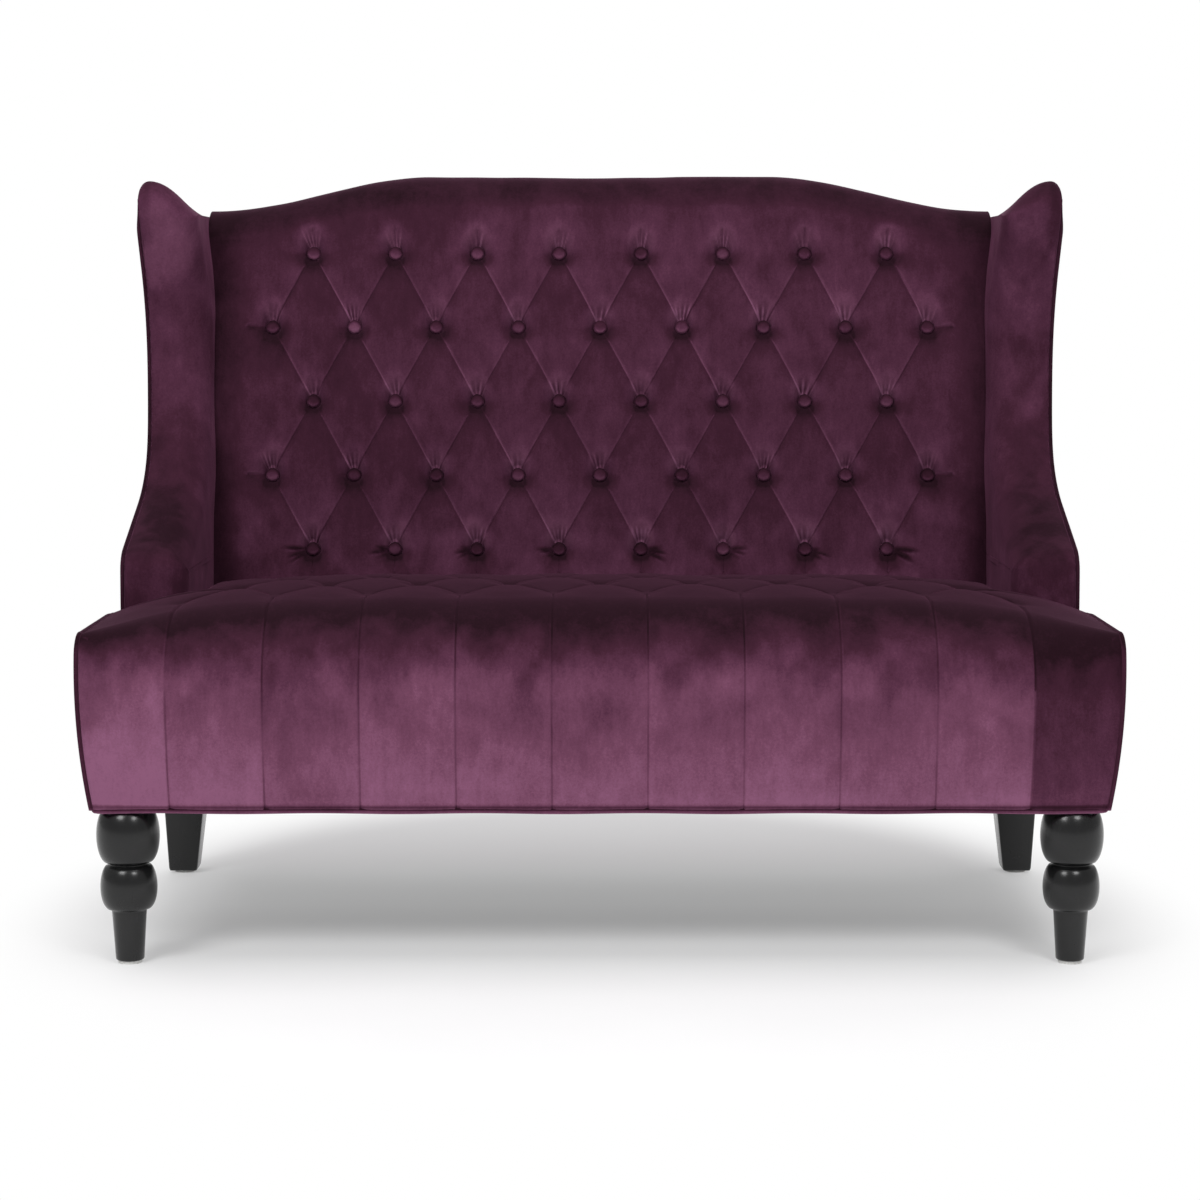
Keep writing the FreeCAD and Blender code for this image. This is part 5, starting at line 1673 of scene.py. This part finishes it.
@dataclass
class Wing:
    """Padded wing that sweeps down from an ear to the arm, with a covered cord on its front edge."""

    side: float
    back: Back
    inner: float = 0.554
    outer: float = 0.6358
    face: float = 0.6380
    arm_front: float = -0.095
    low: float = 0.3178
    cloth_low: float = 0.2018
    corner: Triple = (-0.065, 0.481, 0.030)
    slope: float = 23.0
    sweep: Triple = (-0.0493, 0.7766, 0.236)
    ear: Triple = (0.1492, 0.9750, 0.030)
    ear_heading: float = 118.0
    top_fall: float = 14.0
    ear_top: float = 1.006
    inner_top: float = 0.956
    cap_from: float = 0.86
    roll: float = 0.040
    edge: float = 0.014
    ridge_gap: float = 0.004
    rear_gap: float = 0.004
    waist: float = 0.004
    waist_at: Pair = (0.60, 0.08)
    waist_behind: Pair = (0.022, 0.020)
    band_lip: float = 0.0015
    band_swell: float = 0.0022
    ear_blend: float = 0.12
    ear_across: float = 0.060
    flank_power: float = 1.15
    flank_swell: float = 0.0030
    flank_end: float = 0.62
    flank_from: Pair = (0.50, 0.12)
    flank_top: float = 0.08
    nose: Pair = (0.002, 0.028)
    lid_power: float = 1.4
    dome_power: float = 0.98
    uneven: float = 0.0022
    hold: float = 8.0
    sunk: float = 0.0004
    cloth_inset: float = 0.0022
    cloth_split: float = 0.93
    cloth_lap: Triple = (0.006, 0.425, 0.010)
    cloth_crown: float = 0.0030
    cloth_uneven: float = 0.0020
    cloth_thick: float = 0.0016
    cord_x: float = 0.6388
    cord_radius: float = 0.0025
    cord_low: float = 0.4050

    @property
    def name(self) -> str:
        """Which side the wing is on."""
        return hand(self.side)

    @staticmethod
    def _turn(angles: Array) -> Array:
        """Unit vectors to the left of headings in degrees, in (y, z)."""
        turned = np.radians(angles + 90.0)
        return np.stack([np.cos(turned), np.sin(turned)], axis=-1)

    def outline(self, offset: float, start: float, last: float, step: float = 0.0042) -> Array:
        """The front outline from a height up to a heading on the ear, moved in by an offset.

        It is a vertical run, an arc over the arm's corner, a straight slope, a wide hollow
        sweep, a run leaning forward, and the ear's arc.
        """
        cy, cz, cr = self.corner
        sy, sz, sr = self.sweep
        ey, ez, er = self.ear
        arm = self._turn(np.linspace(90.0, self.slope, 24))
        hollow = self._turn(np.linspace(self.slope, self.ear_heading, 90))
        ear = self._turn(np.linspace(self.ear_heading, last, 60))
        return along(np.concatenate([
            np.array([[self.arm_front + offset, start]]),
            np.array([cy, cz]) + (cr - offset) * arm,
            np.array([sy, sz]) - (sr + offset) * hollow,
            np.array([ey, ez]) + (er - offset) * ear,
        ]), step)

    def ridge(self, y: Array) -> Array:
        """Height of the ear's top line, which falls to the rear."""
        back = np.maximum(y - self.ear[0] - self.ridge_gap, 0.0)
        return self.ear_top - back * math.tan(math.radians(self.top_fall))

    def inner_edge(self, y: Array) -> Array:
        """Height of the top's inner edge, which stays under the ridge."""
        return np.minimum(self.inner_top, self.ridge(y) - self.ridge_gap)

    def flare(self, points: Array) -> Array:
        """Points spread outwards towards the ear: outer faces a little more than inner ones."""
        share = np.clip((points[..., 0] - self.inner) / (self.outer - self.inner), 0.0, 1.0)
        z = points[..., 2]
        front = self.outline(0.0, self.cloth_low, 90.0)
        behind = points[..., 1] - np.interp(z, front[:, 1], front[:, 0])
        waist = self.waist * np.exp(-((z - self.waist_at[0]) / self.waist_at[1]) ** 2)
        waist = waist * ease((self.waist_behind[0] - behind) / self.waist_behind[1])
        spread = points.copy()
        spread[..., 0] += Flare().inside(z) * (1.0 - share) + (Flare().outside(z) - waist) * share
        return spread * np.array([self.side, 1.0, 1.0])

    def dome(self, x: Array, y: Array) -> Array:
        """Height of the top: a sine rise from the inner edge to the ridge, then a rounded outer corner."""
        ridge = self.ridge(y)
        inner = self.inner_edge(y)
        crest = self.outer - self.edge
        share = np.clip((x - self.inner) / (crest - self.inner), 0.0, 1.0)
        fall = np.clip((x - crest) / self.edge, 0.0, 1.0)
        rise = (ridge - inner) * np.sin(0.5 * math.pi * share) ** self.dome_power
        return inner + rise - self.edge * (1.0 - np.sqrt(1.0 - fall ** 2))

    def rear_y(self, z: Array, forward: float) -> Array:
        """y of the plane that lies a distance forward of the reclined rear, at a height."""
        lean = self.back.lean
        return self.back.foot_y + (z - self.back.base_z) * math.tan(lean) - forward / math.cos(lean)

    def profile(self) -> tuple[Array, Array]:
        """Across the front, from the outer edge over the band and round the roll: x, and distance inwards."""
        band = np.linspace(0.0, 1.0, 20)
        turn = np.linspace(0.0, 0.5 * math.pi, 13)[1:]
        flat = self.inner + self.roll
        across = np.concatenate([self.outer + (flat - self.outer) * band, flat - self.roll * np.sin(turn)])
        dish = self.band_lip * (1 - band) ** 3 - self.band_swell * np.sin(math.pi * band)
        return across, np.concatenate([dish, self.roll * (1 - np.cos(turn))])

    def walls(self) -> Array:
        """Front and inner faces: the profile carried up the outline, then lines drawn back to the rear."""
        across, inset = self.profile()
        path = self.outline(0.0, self.low, 90.0)
        slope = unit(np.gradient(path, axis=0))
        inward = np.stack([slope[:, 1], -slope[:, 0]], axis=1)
        front = path[:, None, :] + inset[None, :, None] * inward[:, None, :]
        near_ear = ease((front[..., 1] - self.ear[1] + self.ear_blend) / self.ear_blend)
        outward = ease((across[None, :] - self.inner) / self.ear_across)
        front[..., 1] -= (self.ear[1] - self.inner_top) * near_ear * (1.0 - outward)
        last = front[:, -1]
        share = np.linspace(0.0, 1.0, 56)[1:] ** self.flank_power
        rear = np.stack([self.rear_y(last[:, 1], self.rear_gap), last[:, 1]], axis=1)
        deep = last[:, None, :] * (1 - share[None, :, None]) + rear[:, None, :] * share[None, :, None]
        cap = (self.inner_edge(deep[..., 0]) - self.cap_from) / (self.inner_top - self.cap_from)
        deep[..., 1] = np.minimum(deep[..., 1], self.cap_from + (deep[..., 1] - self.cap_from) * cap)
        flank = np.concatenate([front, deep], axis=1)
        x = np.broadcast_to(np.concatenate([across, np.full(len(share), self.inner)]), flank.shape[:2]).copy()
        swell = np.sin(math.pi * np.clip(share / self.flank_end, 0.0, 1.0))[None, :]
        swell = swell * ease((last[:, 1:] - self.flank_from[0]) / self.flank_from[1])
        x[:, len(across):] -= self.flank_swell * swell * ease((self.inner_top - last[:, 1:]) / self.flank_top)
        return np.stack([x, flank[..., 0], flank[..., 1]], axis=-1)

    def lid(self, base: Array) -> Array:
        """Domed top: lines from the walls' last row to the outer face, rounded down at the ear's nose."""
        across, inset = self.profile()
        ear_y = self.ear[0] - self.ear[2]
        target_y = np.maximum(base[:, 1], ear_y)
        target_y[:len(across)] = base[0, 1] + np.linspace(*self.nose, len(across))
        w = np.linspace(0.0, 1.0, 27)[1:, None] ** self.lid_power
        x = base[:, 0] * (1 - w) + self.outer * w
        y = base[:, 1] * (1 - w) + target_y * w
        nose = np.clip((y - ear_y - np.interp(x, across[::-1], inset[::-1])) / self.ear[2], 0.0, 1.0)
        z = base[:, 2] + (self.dome(x, y) - base[:, 2]) * np.sqrt(1.0 - (1.0 - nose) ** 2)
        return np.stack([x, y, z], axis=-1)

    def pad(self) -> Piece:
        """The padded wing: walls and top, softly uneven away from their borders, and a flat outer face."""
        walls = self.walls()
        upper = np.concatenate([walls, self.lid(walls[-1])])
        soft = SmoothNoise(6).layers(upper, 0.13, 2) - 0.5
        rows, columns = np.indices(upper.shape[:2])
        hold = ease(columns / self.hold) * ease((len(upper) - 1 - rows) / self.hold)
        upper = upper + (self.uneven * soft * hold)[..., None] * grid_normals(upper)
        picks = np.linspace(0, len(upper) - 1, 60).astype(int)
        blend = np.linspace(0.0, 1.0, 8)[None, :, None]
        lower = upper[picks, :1] * (1 - blend) + upper[picks, -1:] * blend
        lower[..., 0] = self.outer - self.sunk
        return padding(f"wing_pad_{self.name}", self.flare(upper), self.flare(lower))

    def outer_cloth(self) -> Piece:
        """Cloth over the outside: level lines from the front outline to the rear, with a slight crown."""
        path = self.outline(self.cloth_inset, self.cloth_low, -6.0, 0.003)
        top = self.ear_top - self.edge - 0.0120
        z = np.concatenate([
            np.linspace(self.cloth_low, self.cloth_split, 120), np.linspace(self.cloth_split, top, 26)[1:],
        ])
        lap, lap_top, lap_run = self.cloth_lap
        first = np.interp(z, path[:, 1], path[:, 0]) - lap * ease((lap_top - z) / lap_run)
        under_ridge = (self.ear_top - self.edge - 0.002 - z) / math.tan(math.radians(self.top_fall))
        last = np.minimum(self.rear_y(z, self.back.rear), self.ear[0] + self.ridge_gap + under_ridge)
        t = np.linspace(0.0, 1.0, 64)[None, :]
        y = first[:, None] * (1 - t) + np.maximum(last, first + NEAR)[:, None] * t
        high = np.broadcast_to(z[:, None], y.shape)
        near = np.minimum(y - first[:, None], last[:, None] - y)
        near = np.minimum(near, np.minimum(high - self.cloth_low, self.ridge(y) - self.edge - high))
        edge = ease(near / 0.05)
        soft = SmoothNoise(14).layers(np.stack([np.zeros_like(y), y, high], axis=-1), 0.12, 2) - 0.5
        x = self.face - 0.0006 + self.cloth_crown * edge + self.cloth_uneven * soft * edge
        x = x - 0.0012 * ease((high - self.cloth_split) / 0.04)
        outer = np.stack([x, y, high], axis=-1)
        inner = outer[::6, ::7].copy()
        inner[..., 0] -= self.cloth_thick
        piece = padding(f"wing_outer_cloth_{self.name}", self.flare(outer), self.flare(inner))
        grid_area(outer)
        return piece

    def cord(self) -> Piece:
        """Covered cord: a circle carried up the outer front edge to the ear."""
        path = self.outline(0.0020, self.cord_low, 96.0)
        inwards = 0.0030 * ease((path[:, 1] - self.cloth_split) / 0.05)
        spots = self.flare(np.stack([self.cord_x - inwards, path[:, 0], path[:, 1]], axis=1))
        return turning(f"wing_cord_{self.name}", carried(spots, self.cord_radius, ACROSS, 14, 10))

    def shade(self, spots: Array) -> Array:
        """Painted light and shade on the pad: painted shade on the arm, in patches, painted light towards the
        ear on the left wing, and painted shade along the outer top rim.
        """
        arm = ease((0.62 - spots[:, 2]) / 0.12)
        ear = ease((spots[:, 2] - 0.70) / 0.20) * (self.side < 0)
        spot = ease((SmoothNoise(27).layers(spots, 0.06, 4) - 0.45) / 0.12)
        rim = ease((np.abs(spots[:, 0]) - 0.622) / 0.010) * ease((spots[:, 2] - 0.90) / 0.03)
        return 0.07 * ear - 0.12 * rim - (0.10 + 0.16 * spot) * arm * (1.0 if self.side < 0 else 0.7)

    def build(self, shop: Workshop, nap_and_shade: NapAndShade) -> None:
        """Builds and dresses the wing's pieces."""
        pad = shop.dress(self.pad(), Finish.VELVET, [f"wing_cover_{self.name}", f"wing_foam_{self.name}"])
        cloth = shop.dress(self.outer_cloth(), Finish.VELVET, [f"wing_outer_cover_{self.name}"])
        cord = shop.dress(self.cord(), Finish.VELVET, [f"wing_welt_{self.name}"])
        nap_and_shade.brush(pad, self.shade)
        # Painted shade: the outer cloth a little darker, the cord darker.
        nap_and_shade.brush(cloth, lambda spots: -0.05)
        nap_and_shade.brush(cord, lambda spots: -0.30)


# Base and legs


@dataclass
class Base:
    """Covered cord round the base, the dust cloth, and the legs."""

    cord_x: float = 0.6385
    cord_front: float = -0.3432
    cord_rear: float = 0.2551
    cord_z: float = 0.2013
    cord_radius: float = 0.0035
    cord_corner: float = 0.012
    leg: Pair = (0.600, -0.310)
    under_x: float = 0.6285
    under_front: float = -0.3362
    under_rear: float = 0.2583
    under_z: float = 0.2035
    sag: float = 0.0040
    pucker: float = 0.0015
    rear_foot: tuple[float, ...] = (0.6145, 0.271635, 0.0205, 0.0215, 0.004)
    rear_shoulder: tuple[float, ...] = (0.6010, 0.225635, 0.0360, 0.0340, 0.1967)
    rear_round: float = 0.0032

    def cord(self) -> Piece:
        """Covered cord: a circle carried along the sides and the front, round two corners."""
        x, y, r = self.cord_x, self.cord_front, self.cord_corner
        angle = np.linspace(0.0, 0.5 * math.pi, 12)
        left = np.stack([-x + r - r * np.cos(angle), y + r - r * np.sin(angle)], axis=1)
        right = left[::-1] * np.array([-1.0, 1.0])
        flat = along(np.concatenate([[[-x, self.cord_rear]], left, right, [[x, self.cord_rear]]]), 0.006)
        wave = 0.0006 * np.sin(flat[:, 0] * 31.0) + 0.0004 * np.sin(flat[:, 1] * 47.0)
        path = np.stack([flat[:, 0], flat[:, 1], self.cord_z + wave], axis=1)
        return turning("base_cord", carried(path, self.cord_radius, UP, 14))

    def under_cloth(self) -> Piece:
        """Dust cloth tacked under the frame: a flat sheet that sags a little between its edges."""
        x = np.linspace(-self.under_x, self.under_x, 90)[None, :]
        y = np.linspace(self.under_front, self.under_rear, 46)[:, None]
        near = np.minimum(self.under_x - np.abs(x), np.minimum(y - self.under_front, self.under_rear - y))
        pucker = SmoothNoise(31).layers(np.stack(np.broadcast_arrays(x, y, 0.0), axis=-1), 0.07, 2) - 0.5
        sag = self.sag * (1.0 + pucker) * ease(near / 0.25)
        z = self.under_z - sag - self.pucker * pucker * ease(near / 0.01)
        low = np.stack(np.broadcast_arrays(x, y, z), axis=-1)
        high = low[::5, ::8] + np.array([0.0, 0.0, 0.0010])
        piece = padding("under_cloth", low, high)
        return piece

    def front_leg(self, side: float) -> Piece:
        """Turned leg: a profile of two balls over a tapered shank, carried round its axis."""
        ball = np.linspace(-1.0, 1.0, 29)

        def arc(low: Pair, widest: float, high: Pair) -> Array:
            """Barrel between two necks: an ellipse's side, widest in the middle."""
            z = low[1] + (high[1] - low[1]) * (ball + 1) / 2
            neck = low[0] + (high[0] - low[0]) * (ball + 1) / 2
            side = np.sqrt(np.maximum(1 - ball ** 2, 0.0)) ** 0.9
            return np.stack([neck + (widest - neck) * side, z], axis=1)

        shank = np.array([
            (0.0150, 0.0040), (0.0168, 0.0042), (0.0178, 0.0052), (0.0181, 0.0070), (0.0192, 0.0250),
            (0.0207, 0.0480), (0.0218, 0.0640), (0.0221, 0.0672),
        ])
        profile = np.concatenate([
            shank,
            arc((0.0221, 0.0690), 0.0360, (0.0245, 0.1275)),
            arc((0.0245, 0.1290), 0.0400, (0.0250, 0.2010)),
        ])
        angle = np.linspace(0.0, 2.0 * math.pi, 72, endpoint=False)
        x = side * self.leg[0] + profile[:, :1] * np.cos(angle)
        y = self.leg[1] + profile[:, :1] * np.sin(angle)
        z = np.broadcast_to(profile[:, 1:], x.shape)
        return turning(f"turned_leg_{hand(side)}", np.stack([x, y, z], axis=-1))

    def rear_leg(self, side: float) -> Piece:
        """Raked square leg: a rounded square carried from the foot up to a wider shoulder."""
        corner = np.linspace(0.0, 0.5 * math.pi, 6)
        t = np.concatenate([[0.0, 0.006, 0.02], np.linspace(0.06, 0.98, 12), [1.0]])[:, None]
        foot, shoulder = np.array(self.rear_foot), np.array(self.rear_shoulder)
        mid_x, mid_y, half_x, half_y, z = (foot + (shoulder - foot) * t).T[..., None]
        soften = 1.0 - 0.05 * (1.0 - ease(t / 0.02))
        radius = self.rear_round
        rings = []
        for quarter, (sx, sy) in enumerate(((1, 1), (-1, 1), (-1, -1), (1, -1))):
            a = corner + quarter * 0.5 * math.pi
            rings.append(np.stack([
                mid_x + soften * (sx * (half_x - radius) + radius * np.cos(a)),
                mid_y + soften * (sy * (half_y - radius) + radius * np.sin(a)),
                np.broadcast_to(z, (len(t), len(a))),
            ], axis=-1))
        loop = np.concatenate(rings, axis=1)
        loop[..., 0] *= side
        return turning(f"raked_leg_{hand(side)}", loop)

    def build(self, shop: Workshop, nap_and_shade: NapAndShade) -> None:
        """Builds and dresses the cord, the dust cloth and the legs."""
        cord = shop.dress(self.cord(), Finish.VELVET, ["base_welt"])
        # Painted shade along the cord's top, where it meets the seat.
        nap_and_shade.brush(cord, lambda spots: 0.02 - 0.45 * ease((spots[:, 2] - self.cord_z) / self.cord_radius))
        shop.dress(self.under_cloth(), Finish.DUST, ["dust_cover"])
        for side in SIDES:
            shop.dress(self.front_leg(side), Finish.LACQUER, [f"front_leg_{hand(side)}"])
            shop.dress(self.rear_leg(side), Finish.LACQUER, [f"rear_leg_{hand(side)}"])


# Studio


@dataclass(frozen=True)
class SoftBox:
    """A lamp: its name, place, width and height, power in watts, and what it is turned to."""

    name: str
    place: Triple
    size: Pair
    watts: float
    aim: Triple = (0.0, 0.0, 0.5)


LAMPS = (
    SoftBox("left_box", (-1.7, -2.6, 2.6), (1.2, 1.2), 46.0),
    SoftBox("right_box", (1.3, -2.8, 2.6), (1.0, 1.0), 36.0),
    SoftBox("over_box", (0.0, -0.4, 3.4), (3.0, 2.4), 40.0, (0.0, 0.0, 0.4)),
    SoftBox("rear_box", (0.0, 3.4, 2.0), (3.0, 1.6), 26.0),
)


@dataclass
class Studio:
    """Pale floor, soft lights and the photograph's camera."""

    eye: Triple = (0.0, -3.870, 0.84509)
    pitch: float = 6.0947
    lens: float = 85.23

    def floor(self) -> None:
        """A floor that is pale near the settee and white towards the horizon, as seen by the camera."""
        shell = Shell()
        line = np.linspace(-30.0, 30.0, 9)
        x, y = np.meshgrid(line, line, indexing="ij")
        shell.grid(np.stack([x, y, np.zeros_like(x)], axis=-1))
        floor = shell.build("floor")
        g = Graph("studio_floor")
        away = g.node("ShaderNodeVectorMath", {"operation": "LENGTH"}, {0: g.place((1.2, 1.0, 1.0))}, "Value")
        seen = g.node("ShaderNodeLightPath", {}, {}, "Is Camera Ray")
        gloss = g.node("ShaderNodeLightPath", {}, {}, "Is Glossy Ray")
        clear = g.node("ShaderNodeLightPath", {}, {}, "Is Transmission Ray")
        grain = g.noise(g.place(), 3.0, 3.0, 0.5)
        tone = g.ramp(grain, ((0.3, (0.90, 0.90, 0.905)), (0.7, (0.92, 0.92, 0.925))))
        pale = g.node("ShaderNodeBsdfDiffuse", {}, {"Color": tone})
        white = g.node("ShaderNodeEmission", {}, {"Color": (1.0, 1.0, 1.0, 1.0), "Strength": 1.0})
        # Camera and glossy rays see white glow mixed in: a quarter near the settee, a painted glow that
        # lightens its shadow, rising to all glow towards the horizon.
        share = (0.24 + 0.76 * away.band(0.70, 1.02)) * (seen + gloss + clear)
        mixed = g.node("ShaderNodeMixShader", {}, {0: share, 1: pale, 2: white})
        g.tree.links.new(mixed.socket, g.output.inputs["Surface"])
        floor.data.materials.append(g.material)

    def world(self) -> None:
        """White background for what the camera sees, and an even soft light for the rest."""
        world = bpy.data.worlds.new("studio")
        bpy.context.scene.world = world
        world.use_nodes = True
        tree = world.node_tree
        tree.nodes.clear()
        path = tree.nodes.new("ShaderNodeLightPath")
        mix = tree.nodes.new("ShaderNodeMapRange")
        mix.inputs["To Min"].default_value = 0.42
        mix.inputs["To Max"].default_value = 1.0
        back = tree.nodes.new("ShaderNodeBackground")
        back.inputs["Color"].default_value = (1.0, 1.0, 1.0, 1.0)
        out = tree.nodes.new("ShaderNodeOutputWorld")
        tree.links.new(path.outputs["Is Camera Ray"], mix.inputs["Value"])
        tree.links.new(mix.outputs[0], back.inputs["Strength"])
        tree.links.new(back.outputs[0], out.inputs["Surface"])

    def lamp(self, box: SoftBox) -> None:
        """A soft box at its place, turned to its aim."""
        light = bpy.data.lights.new(box.name, "AREA")
        light.shape = "RECTANGLE"
        light.size, light.size_y = box.size
        light.energy = box.watts
        made = bpy.data.objects.new(box.name, light)
        made.location = box.place
        way = np.array(box.aim) - np.array(box.place)
        pan = math.atan2(-way[0], way[1])
        made.rotation_euler = (math.acos(-way[2] / np.linalg.norm(way)), 0.0, pan)
        bpy.context.scene.collection.objects.link(made)

    def camera(self) -> None:
        """The photograph's camera, computed for a square picture."""
        data = bpy.data.cameras.new("camera")
        data.lens = self.lens
        data.sensor_width = 36.0
        camera = bpy.data.objects.new("camera", data)
        camera.location = self.eye
        camera.rotation_euler = (math.radians(90.0 - self.pitch), 0.0, 0.0)
        bpy.context.scene.collection.objects.link(camera)
        bpy.context.scene.camera = camera

    def build(self) -> None:
        """Sets up the studio."""
        self.floor()
        self.world()
        for box in LAMPS:
            self.lamp(box)
        self.camera()
        bpy.context.scene.view_settings.view_transform = "Standard"


HIDDEN = {
    Finish.TIMBER: (
        "front_rail", "rear_rail", "side_rail_left", "side_rail_right", "corner_blocks", "seat_stretchers",
        "back_post_left", "back_post_right", "back_lower_rail", "back_top_rail", "back_stiles",
        "wing_frame_left", "wing_frame_right", "back_toggles", "seat_toggles",
    ),
    Finish.STEEL: (
        "seat_springs", "spring_clips", "spring_ties", "leg_plates", "leg_bolts", "plate_screws",
        "frame_bolts", "rail_screws",
    ),
    Finish.JUTE: ("back_webbing", "back_canvas", "back_twines", "seat_insulator", "seat_twines"),
    Finish.GLIDE: ("leg_glides",),
}


def main() -> None:
    """Builds the settee's sub-assemblies in order, then the studio."""
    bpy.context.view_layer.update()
    shop = Workshop()
    back = Back()
    back.build(shop, NapAndShade(middle=0.545, fall=0.95, power=1.0, cap=0.42, under=0.12, fine=0.07))
    Seat().build(shop, NapAndShade(middle=0.76, fall=0.86, broad=0.09, patch=0.05))
    for side in SIDES:
        Wing(side, back).build(shop, NapAndShade(middle=0.46, fall=0.30, broad=0.12, patch=0.10, fine=0.09))
    Base().build(shop, NapAndShade(middle=0.60))
    for finish, names in HIDDEN.items():
        shop.keep(finish, names)
    Studio().build()


if __name__ == "__main__":
    logging.basicConfig(level=logging.INFO, format="%(asctime)s %(message)s")
    main()
